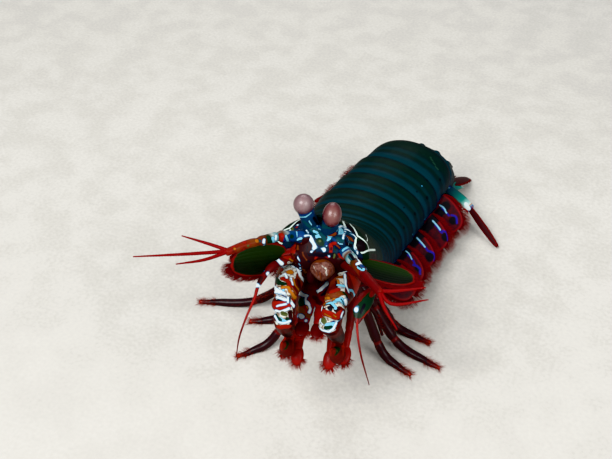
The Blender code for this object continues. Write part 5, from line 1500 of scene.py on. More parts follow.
@dataclass(frozen=True)
class Head(Part):
    """The flesh of the head with the parts round the mouth."""

    lobes: tuple[tuple[Point, Point], ...] = (
        ((4.6, 3.9, 2.6), (2.5, 2.0, 2.2)), ((2.2, 3.8, 5.0), (2.6, 2.2, 2.0)),
        ((5.4, 2.4, -1.6), (2.4, 2.2, 1.8)))
    lip: Point = (1.4, 4.6, -4.9)
    lip_size: Point = (3.1, 2.6, 2.7)
    jaw: Point = (2.7, 3.2, -6.4)
    jaw_size: Point = (1.2, 1.5, 2.0)

    def build(self) -> list[Object]:
        """Builds the head's skin, which runs on under the shield, and the upper lip."""
        trunk = self.trunk
        piece = Piece("head_skin")
        station = np.concatenate([[-5.5, -5.42, -5.25], np.linspace(-5.0, 31, 60)])
        around = np.linspace(0, AROUND, 120, endpoint=False)
        shrink = np.sqrt(1 - (1 - np.clip((station + 5.55) / 1.2, 0, 1)) ** 2) - 1
        grid = trunk.skin(station[:, None], around[None], 3.2 * shrink[:, None] + 0 * around,
                          core=True)
        local = trunk.in_head(grid.reshape(-1, 3))
        hollow = np.exp(-(((local[:, 0] - self.lip[0]) / 3.4) ** 2
                          + ((local[:, 2] - self.lip[2]) / 3.2) ** 2))
        local[:, 1] -= 1.2 * hollow * (local[:, 1] > 3)
        grid = trunk.at_head(local).reshape(grid.shape)
        # Height below the head's middle; the face finish paints dark maroon under it, the head's
        # own colour together with painted shade under the head.
        mouth = local[:, 2].reshape(grid.shape[:2]) + 0.6
        groups = ("face", "stalks", "collar")
        piece.add_grid(grid, mouth=mouth, **PAINTER.paint(grid, groups))
        for side in Side:
            sign = side.value
            axes = trunk.head[1]
            for place, size in self.lobes:
                blob = ball(trunk.at_head(np.array(place) * (sign, 1, 1)), axes, size)
                # The same height field on the lobes, for the painted shade under the head.
                low = trunk.in_head(blob.reshape(-1, 3))[:, 2].reshape(blob.shape[:2]) + 0.6
                piece.add_grid(blob, mouth=low, **PAINTER.paint(blob, groups))
        head = piece.make(FACE, "head", ("head",))
        lip = Piece("labrum_skin")
        axes = trunk.head[1]
        blob = ball(trunk.at_head(self.lip), axes, self.lip_size, 40, 60)
        place = trunk.in_head(blob.reshape(-1, 3)) - self.lip
        crease = 0.5 * np.exp(-(place[:, 0] / 0.5) ** 2) * (place[:, 2] < 0)
        place[:, 1] -= crease
        place[:, 0] *= 1 - 0.38 * np.clip(-place[:, 2] / self.lip_size[2], 0, 1) ** 1.3
        blob = trunk.at_head(place + self.lip).reshape(blob.shape)
        stripe = np.abs(np.mod(place[:, 0] + 0.25 * place[:, 2], 1.1) - 0.55) - 0.14
        lip.add_grid(blob, stripe=stripe.reshape(blob.shape[:2]), **PAINTER.paint(blob, ("lip",)))
        for sign in (-1, 1):
            place = (self.lip[0] + sign * self.jaw[0], *self.jaw[1:])
            jaw = ball(trunk.at_head(place), axes, self.jaw_size, 18, 24)
            lip.add_grid(jaw, maroon=-1.0)
        return [head, lip.make(LIP, "mouth", ("labrum",))]


@dataclass(frozen=True)
class Eyes(Part):
    """Two stalked eyes with fine facets and a faint band across."""

    place: dict[Side, Point] = by_side((-4.7, 9.0, 10.4), (2.6, 9.0, 8.6))
    size: dict[Side, Point] = by_side((2.55, 3.0, 2.6), (2.35, 2.6, 3.1))
    root: dict[Side, Point] = by_side((-2.4, 2.6, 4.6), (1.6, 2.6, 4.4))
    stalk: tuple[float, ...] = (2.3, 2.1, 2.0, 2.35)
    band: float = 0.10

    def build(self) -> list[Object]:
        """Builds a stalk and an eye on each side."""
        made = []
        axes = self.trunk.head[1]
        for side in Side:
            eye = Piece(f"eye_{side.label}_ball")
            centre = self.trunk.at_head(self.place[side])
            globe = ball(centre, axes, self.size[side], 60, 80)
            spread_out = (globe - centre) @ axes.T / np.array(self.size[side])
            # How far each point faces the camera; the eye finish paints shade towards the rim and
            # light in the middle from it.
            light = spread_out @ (axes @ -PAINTER.camera.axes()[2])
            eye.add_grid(globe, rim=light, band=np.abs(spread_out[..., 0]) - self.band)
            made.append(eye.make(EYE[side], "eyes", (f"eye_{side.label}",)))
            stalk = Piece(f"eye_stalk_{side.label}_skin")
            root = self.trunk.at_head(self.root[side])
            route = [root, root * 0.55 + centre * 0.45, centre]
            grid, share = Limb(np.array(route), self.stalk, blunt=0.1).grid(50, 60)
            stalk.add_grid(grid, share=share, **PAINTER.paint(grid, ("stalks",)))
            made.append(stalk.make(STALK, "eye_stalks", (f"eye_stalk_{side.label}",)))
        return made


# Feelers and scales

@dataclass(frozen=True)
class Feelers(Part):
    """Feelers of the head: banded stems with red whips, red feelers and fringed scales."""

    stem: dict[Side, Route] = by_side(
        ((-4.9, 2.5, 3.0), (-9.5, 8.0, 2.0), (-13.3, 12.4, 0.0), (-16.6, 14.8, -1.6),
         (-20.3, 17.0, -4.0)),
        ((5.2, 2.5, 1.4), (8.6, 7.0, -1.6), (12.0, 11.0, -4.8), (14.6, 13.6, -7.2),
         (16.6, 15.2, -9.0)))
    whips: dict[Side, tuple[Route, ...]] = by_side(
        (((-28.0, 22.6, -5.8), (-39.3, 28.0, -8.2)), ((-24.6, 20.6, -6.6), (-30.0, 25.0, -8.6)),
         ((-24.8, 17.4, -2.6), (-31.0, 20.0, -1.6))),
        (((20.0, 17.2, -11.4), (27.8, 20.0, -9.5)), ((20.4, 15.6, -8.2), (27.0, 15.0, -6.6)),
         ((18.2, 18.2, -12.6), (21.6, 20.4, -17.0))))
    rings: int = 36
    feeler: dict[Side, Route] = by_side(
        ((-6.6, 3.0, -2.6), (-10.4, 8.2, -5.6), (-12.6, 11.2, -10.0), (-13.2, 12.6, -14.2),
         (-14.4, 13.6, -19.0), (-15.4, 13.4, -23.7), (-15.8, 12.0, -28.3)),
        ((6.6, 3.0, -2.6), (11.4, 8.0, -5.4), (14.8, 11.0, -8.4), (12.8, 14.2, -12.5),
         (12.2, 15.6, -16.6), (13.7, 15.6, -23.2), (16.5, 12.0, -30.7)))
    scale_stalk: dict[Side, Route] = by_side(((-5.8, 1.4, -0.8), (-9.4, 3.8, -2.4)),
                                             ((5.8, 1.8, -0.8), (9.6, 1.8, -2.2)))
    scale_along: dict[Side, Point] = by_side((-0.69, 0.68, -0.24), (0.97, -0.20, -0.12))
    scale_lower: dict[Side, Point] = by_side((0.0, -0.55, -0.83), (0.0, 0.80, -0.60))
    scale_long: float = 16.0
    scale_half: float = 4.5
    rib: float = 0.05

    def build(self) -> list[Object]:
        """Builds both sides."""
        made = []
        for side in Side:
            made += [self.antennule(side), self.antenna(side), *self.scale(side)]
        return made

    def antennule(self, side: Side) -> Object:
        """Builds a banded stem with its three whips."""
        piece = Piece(f"antennule_{side.label}_skin")
        stem = self.trunk.at_head(self.stem[side])
        limb = Limb(stem, (1.5, 1.35, 1.2, 1.05, 0.95), joints=(0.36, 0.64), pinch=0.2)
        grid, share = limb.grid(120, 40)
        tone = share if side is Side.RIGHT else np.clip(share * 1.3, 0, 1)
        piece.add_grid(grid, share=tone, whip=1.0,
                       **PAINTER.paint(grid, (f"feeler_{side.label}",)))
        for whip in self.whips[side]:
            route = np.array([stem[-1] * 0.85 + stem[-2] * 0.15, *self.trunk.at_head(whip)])
            grid, share = Limb(route, (0.5, 0.38, 0.14), blunt=0.3).grid(150, 8)
            beads = 1 + 0.10 * np.cos(share * 2 * np.pi * self.rings)
            middle = grid.mean(1, keepdims=True)
            piece.add_grid(middle + (grid - middle) * beads[..., None], share=1.0, whip=0.0)
        return piece.make(BANDED, "banded_limbs", (f"antennule_{side.label}",))

    def antenna(self, side: Side) -> Object:
        """Builds a red feeler: three stout segments, then a thin whip."""
        piece = Piece(f"antenna_{side.label}_skin")
        limb = Limb(self.trunk.at_head(self.feeler[side]),
                    (1.25, 1.05, 0.80, 0.38, 0.28, 0.22, 0.1), joints=(0.16, 0.30, 0.45))
        grid, share = limb.grid(260, 22)
        piece.add_grid(grid, share=share, **PAINTER.paint(grid, (f"{side.label}_joint",)))
        if side is Side.LEFT:
            grid, _ = Limb(self.trunk.at_head(self.feeler[side][2:5]), (0.9, 1.9, 1.9, 0.6),
                           flat=0.45, lay=PAINTER.camera.axes()[2]).grid(60, 40)
            piece.add_grid(grid, share=0.3, **PAINTER.paint(grid, ("left_blade",)))
        return piece.make(RED_LIMB, "red_limbs", (f"antenna_{side.label}",))

    def scale(self, side: Side) -> list[Object]:
        """Builds a scale on its short stalk, and its fringe."""
        trunk = self.trunk
        root, hinge = trunk.at_head(self.scale_stalk[side])
        along = self.scale_along[side] @ trunk.head[1]
        piece = Piece(f"antennal_scale_{side.label}_skin")
        grid, _ = Limb(np.array([root, (root + hinge) / 2, hinge]), (1.4, 1.35, 1.2)).grid(
            16, 24)
        piece.add_grid(grid, cross=0.5, rim=0.0)
        plate = Plate(hinge - along, along, self.scale_lower[side] @ trunk.head[1],
                      self.scale_long, self.scale_half, bow=0.6)
        middle, _, cross, rim = plate.grid(90, 60)
        ribs = self.rib * np.cos(cross * 26)
        middle = middle + plate.axes()[2] * ribs[..., None]
        piece.add_sheet(middle, 0.7, cross=cross, rim=rim)
        skin = piece.make(SCALE, "antennal_scales", (f"antennal_scale_{side.label}",))
        fringe = Piece(f"antennal_scale_{side.label}_fringe")
        plate.fringe(fringe, 900, reach=(2.7, 1.0), bare=0.16, width=0.06, seed=3 + side.value)
        return [skin, fringe.make(FRINGE, "antennal_scales", fringe=True)]


# Claws and limbs by the mouth

@dataclass(frozen=True)
class Claws(Part):
    """The folded striking claws, segment by segment."""

    merus: Route = ((7.4, -8.0, -2.8), (7.0, 0.0, -7.2), (6.2, 9.4, -12.2))
    carpus: Point = (6.0, 12.0, -14.6)
    propodus: Route = ((5.9, 11.4, -18.2), (6.2, 3.0, -19.6), (6.5, -8.2, -21.2))
    dactyl: Route = ((6.5, -10.6, -22.2), (6.6, -9.0, -25.4), (6.4, -2.0, -25.0),
                     (6.1, 6.6, -23.8))
    wrist: Point = (5.5, 11.0, -17.9)

    def route(self, points: Array, side: Side) -> Array:
        """World points of a claw's points on one side."""
        return self.trunk.at_head(np.asarray(points, float) * (side.value, 1, 1))

    def build(self) -> list[Object]:
        """Builds four segments on each side."""
        made = []
        for side in Side:
            made += self.arm(side)
        return made

    def arm(self, side: Side) -> list[Object]:
        """Builds one claw."""
        label = side.label
        made = []
        merus = Piece(f"raptorial_merus_{label}_skin")
        grid, share = Limb(self.route(self.merus, side), (2.6, 3.6, 3.7, 3.4, 2.9), flat=0.92,
                           blunt=0.5).grid(120, 100)
        merus.add_grid(grid, share=share, **self.marks(grid, side))
        made.append(merus.make(CLAW, "claws", (f"raptorial_merus_{label}",)))
        carpus = Piece(f"raptorial_carpus_{label}_skin")
        axes = self.trunk.head[1]
        grid = ball(self.route([self.carpus], side)[0], axes, (2.9, 2.5, 2.5), 60, 80)
        carpus.add_grid(grid, **self.marks(grid, side))
        made.append(carpus.make(CLAW, "claws", (f"raptorial_carpus_{label}",)))
        hand = Piece(f"raptorial_propodus_{label}_skin")
        grid, share = Limb(self.route(self.propodus, side), (2.4, 2.6, 2.4, 2.2, 1.7),
                           flat=0.85).grid(90, 72)
        hand.add_grid(grid, **self.marks(grid, side))
        grid = ball(self.route([self.wrist], side)[0], axes, (2.7, 2.3, 2.6), 50, 70)
        hand.add_grid(grid, **self.marks(grid, side))
        made.append(hand.make(CLAW, "claws", (f"raptorial_propodus_{label}",)))
        tip = Piece(f"raptorial_dactyl_{label}_skin")
        grid, share = Limb(self.route(self.dactyl, side), (1.3, 2.4, 2.0, 1.4, 0.9, 0.25),
                           flat=0.9).grid(90, 40)
        tip.add_grid(grid, share=share, **PAINTER.paint(grid, (f"tip_{label}",)))
        made.append(tip.make(CLAW_TIP, "claw_tips", (f"raptorial_dactyl_{label}",)))
        return made

    def marks(self, grid: Array, side: Side) -> dict[str, Array]:
        """Fields of the claw's marks, in front and turned over to the back."""
        middle = grid.mean((0, 1))
        forward = PAINTER.camera.axes()[2]

        def behind(points: Array) -> Array:
            """Points turned over through the claw's middle to its hidden side."""
            depth = (points - middle) @ forward
            return points - 2 * depth[:, None] * forward

        return PAINTER.paint(grid, (f"claw_{side.label}",), behind)


@dataclass(frozen=True)
class Maxillipeds(Part):
    """Three pairs of limbs behind the claws, each with a rounded, hairy hand."""

    routes: dict[int, Route] = field(default_factory=lambda: {
        3: ((2.4, -11.0, -5.5), (2.2, -3.0, -12.0), (2.0, 2.0, -18.0)),
        4: ((4.6, -15.5, -5.5), (4.6, -13.2, -16.0), (4.4, -12.8, -25.0)),
        5: ((7.6, -20.0, -5.5), (8.2, -17.6, -16.0), (8.0, -15.8, -23.5))})
    radii: dict[int, tuple[float, ...]] = field(default_factory=lambda: {
        3: (2.2, 2.6, 2.3, 1.5), 4: (1.5, 2.0, 1.7, 1.2), 5: (1.2, 1.35, 1.05, 0.95)})
    hand: float = 5.5
    bristles: int = 130

    def build(self) -> list[Object]:
        """Builds all six."""
        return [self.limb(number, side) for number in self.routes for side in Side]

    def limb(self, number: int, side: Side) -> Object:
        """Builds one limb with its hand and the bristles round it."""
        trunk = self.trunk
        route = trunk.at_head(np.array(self.routes[number]) * (side.value, 1, 1))
        piece = Piece(f"maxilliped_{number}_{side.label}_skin")
        strap = {"flat": 0.6, "lay": trunk.frame(0.0)[3]} if number == 3 else {}
        grid, share = Limb(route, self.radii[number], joints=(0.45, 0.75), pinch=0.1,
                           **strap).grid(90, 40)
        piece.add_grid(grid, share=0.6 * share,
                       **PAINTER.paint(grid, ("straps",) if number < 5 else ()))
        heading = unit(route[-1] - route[-2])
        _, across, tailward, _ = trunk.frame(0.0)
        centre = route[-1] + heading * self.hand * 0.4
        axes = np.array([across, tailward, heading])
        piece.add_grid(ball(centre, axes, (1.75, 0.95, self.hand / 2), 26, 34),
                       share=0.35 if number == 3 else 0.6)
        draw = np.random.default_rng(number + 10 * side.value + 40)
        count = self.bristles
        turn = draw.uniform(-1.3, 1.3, count)
        wide = unit(across - heading * np.dot(across, heading))
        out = np.sin(turn)[:, None] * wide + np.cos(turn)[:, None] * heading
        root = centre + (1.6 * np.sin(turn))[:, None] * wide + (
            self.hand * 0.47 * np.cos(turn))[:, None] * heading
        root = root + draw.uniform(-0.5, 0.5, (count, 1)) * tailward
        piece.add_bristles(root, unit(out + draw.normal(0, 0.15, (count, 3))),
                           draw.uniform(1.0, 2.1, count), np.full(count, 0.06),
                           draw.normal(0, 0.12, (count, 3)), strand=draw.random(count),
                           share=np.full(count, 0.6))
        return piece.make(RED_LIMB, "red_limbs", (f"maxilliped_{number}_{side.label}",))


@dataclass(frozen=True)
class Legs(Part):
    """Six two-branched walking legs with bristly feet."""

    feet: dict[tuple[Side, int], tuple[float, float]] = field(default_factory=lambda: {
        (Side.LEFT, 6): (29.9, -20.5), (Side.LEFT, 7): (37.2, -14.7),
        (Side.LEFT, 8): (31.8, -5.8), (Side.RIGHT, 6): (-21.4, -33.2),
        (Side.RIGHT, 7): (-24.2, -18.5), (Side.RIGHT, 8): (-43.1, -16.6)})
    knee: Point = (0.16, 0.12, 0.26)
    shin: Point = (0.52, 0.56, 0.86)
    foot: float = 0.375
    tufts: tuple[tuple, ...] = ((130, 0.86, 1.02, (1.0, 2.4), 0.05),
                                (60, 0.50, 0.90, (0.6, 1.5), 0.035))
    branch_tuft: tuple = (70, 0.55, 1.0, (0.8, 1.6), 0.04)

    def route(self, side: Side, number: int) -> Array:
        """Root, knee, shin, ankle and foot of a leg."""
        sizes = self.trunk.sizes
        middle = sizes.carapace_end + sizes.thorax_step * (number - 4.5)
        root = self.trunk.place(middle, side.value * 6.0, 1.5 - keyed(sizes.belly, middle))
        foot = np.array([*self.feet[side, number], self.foot]) + (*sizes.place[:2], 0)
        reach = foot - root
        knee, shin = root + np.array(self.knee) * reach, root + np.array(self.shin) * reach
        ankle = foot + unit((shin - foot) * (1, 1, 0)) * 4.5 + (0, 0, 0.35)
        return np.array([root, knee, shin, ankle, foot])

    def build(self) -> list[Object]:
        """Builds all six."""
        return [self.leg(side, number) for side, number in self.feet]

    def leg(self, side: Side, number: int) -> Object:
        """Builds a leg, its thin inner branch and its bristles."""
        route = self.route(side, number)
        piece = Piece(f"walking_leg_{number}_{side.label}_skin")
        limb = Limb(route, (1.3, 1.5, 1.45, 1.42, 1.3, 0.55), joints=(0.3, 0.58), pinch=0.14,
                    lay=np.array([0.3, 0.1, 1.0]), blunt=0.4)
        grid, share = limb.grid(120, 26)
        grid[..., 2] = np.maximum(grid[..., 2], 0.0)
        cuff = np.minimum(np.abs(share - 0.3), np.abs(share - 0.58)) * 40 - 0.6
        piece.add_grid(grid, share=share, cuff=cuff)
        offset = np.array([0.0, -2.6 if number == 8 else 2.6, 1.8])
        end = route[1] + (route[2] - route[1]) * 0.9 + offset
        branch = Limb(np.array([route[1], (route[1] + end) / 2 + offset * 0.6, end]),
                      (0.7, 0.6, 0.45), blunt=0.5)
        grid, share = branch.grid(40, 14)
        piece.add_grid(grid, share=share * 0.8, cuff=FAR)
        draw = np.random.default_rng(number * 7 + side.value)
        for tuft in self.tufts:
            self.bristles(piece, limb, draw, *tuft)
        self.bristles(piece, branch, draw, *self.branch_tuft)
        return piece.make(LEG, "legs", (f"walking_leg_{number}_{side.label}",))

    def bristles(self, piece: Piece, limb: Limb, draw: np.random.Generator, count: int,
                 start: float, end: float, reach: tuple[float, float], width: float) -> None:
        """Adds bristles on a stretch of a limb, leaning to its end and off the ground."""
        at = np.clip(draw.uniform(start, end, count), 0, 1)
        turn = draw.uniform(0, 2 * np.pi, count)
        root, out = limb.on_skin(at, turn)
        _, along, _, _ = limb.lines(at)
        lean = draw.uniform(0.5, 1.4, (count, 1)) * (0.4 + 0.6 * at[:, None])
        heading = unit(out + along * lean)
        heading[:, 2] = np.maximum(heading[:, 2], -0.02)
        length = draw.uniform(*reach, count)
        low = root[:, 2] + heading[:, 2] * length < 0.05
        heading[low, 2] = np.abs(heading[low, 2]) + 0.1
        root[:, 2] = np.maximum(root[:, 2], width)
        piece.add_bristles(root - out * 0.1, unit(heading), length, np.full(count, width),
                           draw.normal(0, 0.06, (count, 3)) * (1, 1, 0.3), share=np.ones(count),
                           strand=draw.random(count))


# Swimming limbs and tail fan

@dataclass(frozen=True)
class Swimmerets(Part):
    """Five pairs of fringed paddles with gills under the abdomen."""

    normal: Point = (0.25, -0.70, 0.66)
    outer: Point = (0.86, -0.15, -0.49)
    inner: Point = (0.45, 0.10, -0.89)
    gills: int = 60

    def build(self) -> list[Object]:
        """Builds five pairs."""
        made = []
        for number in range(1, 6):
            for side in Side:
                made += self.pair(number, side)
        return made

    def pair(self, number: int, side: Side) -> list[Object]:
        """Builds one swimmeret and its fringe."""
        trunk, sizes = self.trunk, self.trunk.sizes
        middle = sizes.hinge + sizes.abdomen_step * (number - 0.5) + 1.0
        root = trunk.place(middle, side.value * 9.5, -4.2)
        mirrored = np.array([side.value, 1, 1])
        normal, outer, inner = (unit(trunk.way(middle, np.array(way) * mirrored))
                                for way in (self.normal, self.outer, self.inner))
        label = f"swimmeret_{number}_{side.label}"
        piece = Piece(label + "_skin")
        fringe = Piece(label + "_fringe")
        base = ball(root + inner, np.array([normal, outer, inner]), (1.6, 2.4, 2.6), 20, 26)
        piece.add_grid(base, **(PAINTER.paint(base, ("paddles",)) if side is Side.LEFT else {}))
        for heading, length, half, seed in ((outer, 16.0, 5.2, 0), (inner, 10.5, 3.6, 5)):
            plate = Plate(root, heading, np.cross(normal, heading), length, half, bow=0.5)
            grid, share, cross, rim = plate.grid(60, 44)
            flat = np.stack([(share - 0.56) * length, cross * half * 0.8], -1)
            round_ = np.linalg.norm(flat, axis=2)
            spot = (round_ - 0.42 * half) if seed == 0 else FAR
            arc = (np.abs(round_ - 0.52 * half) - 0.4) if seed == 0 else FAR
            marks = PAINTER.paint(grid, ("paddles",)) if side is Side.LEFT else {
                "spot": spot, "arc": arc}
            piece.add_sheet(grid, 0.6, rim=rim, **marks)
            plate.fringe(fringe, 620 if seed == 0 else 380, (3.1, 3.1), 0.16, 0.065,
                         seed=10 * number + seed)
        draw = np.random.default_rng(number + 5 * side.value + 20)
        count = self.gills
        out, down = draw.uniform(1.5, 5.2, count), draw.uniform(0.2, 1.4, count)
        roots = root + outer * out[:, None] + inner * down[:, None] - normal * 0.3
        heading = unit(0.45 * inner - 0.75 * normal - 0.1 * outer
                       + draw.normal(0, 0.2, (count, 3)))
        piece.add_bristles(roots, heading, draw.uniform(2.4, 4.6, count), np.full(count, 0.16),
                           0.35 * inner + draw.normal(0, 0.15, (count, 3)), rows=5, sides=5,
                           strand=draw.random(count))
        return [piece.make(PADDLE, "swimmerets", (label,)),
                fringe.make(FRINGE, "swimmerets", fringe=True)]


@dataclass(frozen=True)
class TailFan(Part):
    """The toothed tail plate and the limbs on both sides of it."""

    plan: tuple[tuple[float, ...], ...] = (
        (0.0, 10.5, 5.2, 3.0), (0.12, 11.0, 5.4, 2.8), (0.45, 11.2, 4.6, 2.0),
        (0.75, 9.2, 3.2, 1.3), (1.0, 5.2, 1.6, 0.9))
    teeth: tuple[tuple[float, ...], ...] = (
        (139.4, 3.0, 0.6, 3.0, 0.75, 0.05), (134.2, 8.2, 1.0, 2.6, 0.7, 0.25),
        (128.0, 10.4, 1.2, 2.2, 0.6, 0.35))
    middle: tuple[float, float] = (7.0, 62.0)
    outer_root: Point = (12.2, -0.5, 9.2)
    hinge: Point = (21.0, -3.5, 5.4)
    tip: Point = (34.8, -16.0, 0.9)
    inner_root: Point = (10.5, 5.0, 6.6)
    inner_tip: Point = (15.5, 19.5, 1.4)
    block: Point = (11.0, 1.5, 7.6)
    prong_root: Point = (12.0, 3.0, 6.4)
    prongs: Route = ((12.6, 15.5, 2.6), (15.2, 12.0, 2.2))
    spines: Keys = ((0.40, 1.5), (0.48, 1.6), (0.55, 1.8), (0.62, 1.9), (0.68, 2.0), (0.75, 2.2),
                    (0.81, 2.3), (0.88, 2.5), (0.94, 2.6))
    sunk: float = 3.2
    fringe: float = 0.9
    blade_tilt: float = 40.0

    def at(self, side: Side, point: Point) -> Array:
        """World point of a point given from the middle of the fan's root."""
        place = self.trunk.sizes.place
        return np.array([place[0] + self.middle[0] + side.value * point[0],
                         place[1] + self.middle[1] + point[1], point[2]])

    def build(self) -> list[Object]:
        """Builds the tail plate, and an inner and an outer limb on each side."""
        made = [self.telson()]
        for side in Side:
            made += self.outer(side) + self.inner(side)
        return made

    def telson(self) -> Object:
        """Builds the tail plate, whose keels are bells round the section, and its teeth."""
        trunk, sizes = self.trunk, self.trunk.sizes
        piece = Piece("telson_skin")
        share = edged(60, 0.02)
        place = np.linspace(0, AROUND, 180, endpoint=False)
        plan = np.array(self.plan)
        wide, back, belly = (np.interp(share, plan[:, 0], plan[:, k])[:, None] for k in (1, 2, 3))
        across, up, down = trunk.section(place)
        keel = trunk.keel(place)[None] * 0.75 * ease(share * 6)[:, None]
        knobs = 0.12 * np.sin(share[:, None] * 60) * np.sin(place[None] * 3.1) * (up[None] > 0.2)
        station = sizes.telson_start + 0.2 + share * (sizes.telson_end - sizes.telson_start - 0.2)
        end = np.sqrt(1 - np.clip((share - 0.96) / 0.05, 0, 1) ** 2)[:, None]
        grid = trunk.place(station[:, None], across * wide * (0.9 + 0.1 * end),
                           (up * (back + keel + knobs) - down * belly) * end)
        grid[..., 2] = np.maximum(grid[..., 2], 0.0)
        piece.add_grid(grid, margin=(1 - share[:, None]) * 23 - 1.6,
                       ridge=-trunk.keel(place)[None])
        for station, over, height, length, radius, lean in self.teeth:
            _, side_way, tailward, _ = trunk.frame(station)
            for sign in (-1, 1):
                heading = tailward * (1, 1, 0) + sign * lean * side_way + (0, 0, 0.04)
                root = trunk.place(station, sign * over, height)
                piece.add_bristles((root - unit(heading))[None], unit(heading)[None],
                                   np.array([length + 1.0]), np.array([radius]),
                                   np.zeros((1, 3)), rows=8, sides=12, margin=np.array([-1.0]))
        return piece.make(TAIL, "telson", ("telson",))

    def outer(self, side: Side) -> list[Object]:
        """Builds the outer limb: a spiny stem, a fringed blade and its fringe."""
        root, hinge, tip = (self.at(side, point)
                            for point in (self.outer_root, self.hinge, self.tip))
        piece = Piece(f"uropod_outer_{side.label}_skin")
        route = np.array([root, (root + hinge) / 2 + (0, 0, 0.2), hinge])
        stem = Limb(route, (2.0, 2.2, 2.3, 2.0), flat=0.6, lay=np.array([0.0, 0.0, 1.0]),
                    blunt=0.5)
        grid, share = stem.grid(60, 40)
        piece.add_grid(grid, share=share, thorn=1.0, inside=1.0,
                       **(PAINTER.paint(grid, ("fan",)) if side is Side.LEFT else {}))
        heading = unit(tip - hinge)
        level = unit(np.cross((0, 0, 1), heading))
        tilt = math.radians(self.blade_tilt)
        wide = math.cos(tilt) * level + side.value * math.sin(tilt) * np.cross(heading, level)
        length = float(np.linalg.norm(tip - hinge)) + self.sunk - self.fringe
        plate = Plate(hinge - heading * self.sunk, heading, wide, length, 1.15, bow=0.3)
        middle, _, _, rim = plate.grid(70, 30)
        piece.add_sheet(middle, 0.9, share=1.0, thorn=1.0, inside=0.0, rim=rim)
        out = unit(hinge - root)
        front = unit(np.cross(out, (0, 0, side.value)))
        at, lengths = np.array(self.spines).T
        roots = root + (hinge - root) * at[:, None] + front * 1.6
        count = len(at)
        heading = np.tile(unit(out + front * 0.55), (count, 1))
        piece.add_bristles(roots - (out + front) * 0.3, heading, lengths, np.full(count, 0.42),
                           np.tile(front * 0.1, (count, 1)), rows=6, sides=8,
                           share=np.ones(count), thorn=np.zeros(count))
        skin = piece.make(FAN_STEM, "tail_fan", (f"uropod_outer_{side.label}",))
        fringe = Piece(f"uropod_outer_{side.label}_fringe")
        plate.fringe(fringe, 300, (self.fringe, self.fringe), 0.24, 0.05, seed=61)
        return [skin, fringe.make(FRINGE, "tail_fan", fringe=True)]

    def inner(self, side: Side) -> list[Object]:
        """Builds the inner limb: its block, the forked prong, a fringed blade and fringe."""
        piece = Piece(f"uropod_inner_{side.label}_skin")
        piece.add_grid(ball(self.at(side, self.block), np.eye(3), (3.0, 3.4, 2.4)), share=0.4,
                       thorn=1.0, inside=1.0)
        start = self.at(side, self.prong_root)
        for prong in self.prongs:
            end = self.at(side, prong)
            route = np.array([start, (start + end) / 2 + (0, 0, 0.5), end])
            grid, share = Limb(route, (1.1, 0.9, 0.12), blunt=0.1).grid(40, 16)
            piece.add_grid(grid, share=0.3 + 0.5 * share, thorn=1.0, inside=1.0)
        root, tip = self.at(side, self.inner_root), self.at(side, self.inner_tip)
        heading = unit(tip - root)
        plate = Plate(root, heading, np.cross((0, 0, 1), heading),
                      float(np.linalg.norm(tip - root)) - 1.4, 2.4, bow=0.3)
        middle, _, _, rim = plate.grid(60, 30)
        piece.add_sheet(middle, 0.9, share=1.0, thorn=1.0, inside=0.0, rim=rim + 0.2)
        skin = piece.make(FAN_STEM, "tail_fan", (f"uropod_inner_{side.label}",))
        fringe = Piece(f"uropod_inner_{side.label}_fringe")
        plate.fringe(fringe, 420, (1.4, 1.4), 0.16, 0.055, seed=67)
        return [skin, fringe.make(FRINGE, "tail_fan", fringe=True)]


# Floor, light and camera

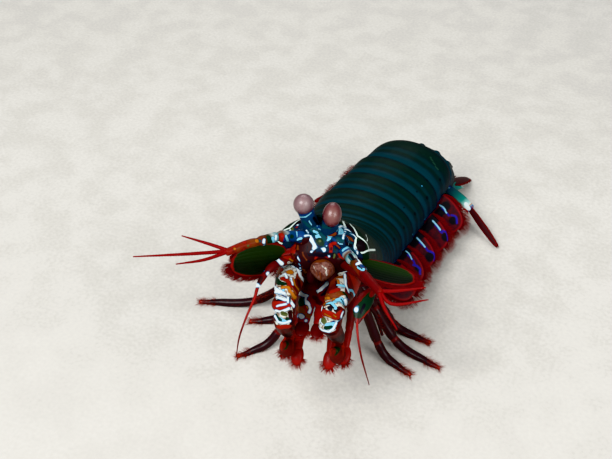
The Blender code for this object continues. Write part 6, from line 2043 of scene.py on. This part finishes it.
@dataclass(frozen=True)
class Studio:
    """Pale floor, soft lights and the photo's camera."""

    view: Camera = Camera()
    lights: tuple[tuple[Point, float, float], ...] = (
        ((-0.15, -0.50, 0.60), 8.0, 0.40), ((0.50, -0.25, 0.40), 3.0, 0.35),
        ((-0.20, 0.50, 0.50), 2.0, 0.40))
    floor: float = 1.5
    sky: Colour = (0.9, 0.95, 1.0)
    glow: float = 0.30

    def aim(self, place: Array, forward: Array, right: Array) -> Matrix:
        """Placing matrix of something that looks along its own -Z."""
        back = -unit(forward)
        right = unit(right)
        up = np.cross(back, right)
        turn = np.eye(4)
        turn[:3, 0], turn[:3, 1], turn[:3, 2], turn[:3, 3] = right, up, back, place
        return Matrix(turn.tolist())

    def build(self) -> None:
        """Sets the floor, the lights, the world and the camera."""
        scene = bpy.context.scene
        size = self.floor
        mesh = bpy.data.meshes.new("floor")
        mesh.from_pydata([(-size, -size, 0), (size, -size, 0), (size, size, 0), (-size, size, 0)],
                         [], [(0, 1, 2, 3)])
        mesh.materials.append(FLOOR.material())
        floor = bpy.data.objects.new("floor", mesh)
        scene.collection.objects.link(floor)
        for number, (place, power, width) in enumerate(self.lights):
            lamp = bpy.data.lights.new(f"light_{number}", "AREA")
            lamp.energy = power
            lamp.size = width
            lit = bpy.data.objects.new(f"light_{number}", lamp)
            aim = -np.array(place) + (0, 0, 0.03)
            lit.matrix_world = self.aim(np.array(place), aim, np.cross(aim, (0, 0, 1)))
            scene.collection.objects.link(lit)
        world = bpy.data.worlds.new("studio")
        world.use_nodes = True
        air = world.node_tree.nodes["Background"].inputs
        air["Color"].default_value = (*self.sky, 1.0)
        air["Strength"].default_value = self.glow
        scene.world = world
        view = self.view
        lens = bpy.data.cameras.new("camera")
        lens.lens = view.lens
        lens.sensor_width = view.sensor
        lens.clip_start = 0.01
        camera = bpy.data.objects.new("camera", lens)
        camera.matrix_world = self.aim(np.array(view.place), np.array(view.forward),
                                       np.array(view.right))
        scene.collection.objects.link(camera)
        scene.camera = camera
        scene.view_settings.view_transform = "Khronos PBR Neutral"


def rings(sizes: Stance) -> list[Ring]:
    """The rings of the thorax and the abdomen from front to rear."""
    made = []
    for number in range(5, 9):
        start = sizes.carapace_end + sizes.thorax_step * (number - 5)
        made.append(Ring(f"thorax_{number}", "thorax", start, start + sizes.thorax_step, hang=1.2))
    for number in range(1, 7):
        start = sizes.hinge + sizes.abdomen_step * (number - 1)
        made.append(Ring(f"abdomen_{number}", "abdomen", start, start + sizes.abdomen_step,
                         keel=0.6 if number == 6 else 0.0, spines=number == 6,
                         overlap=0.2 if number == 6 else 0.9))
    return made


def main() -> None:
    """Builds the pieces in order over the frame and logs how many pieces each part makes."""
    logging.basicConfig(level=logging.INFO, format="%(message)s")
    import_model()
    Studio().build()
    trunk = Trunk(Stance())
    for ring in rings(trunk.sizes):
        ring.build(trunk)
    for part in (Shield, Head, Eyes, Feelers, Claws, Maxillipeds, Legs, Swimmerets, TailFan):
        made = part(trunk).build()
        LOG.info("%s: %d pieces", part.__name__, len(made))


if __name__ == "__main__":
    main()
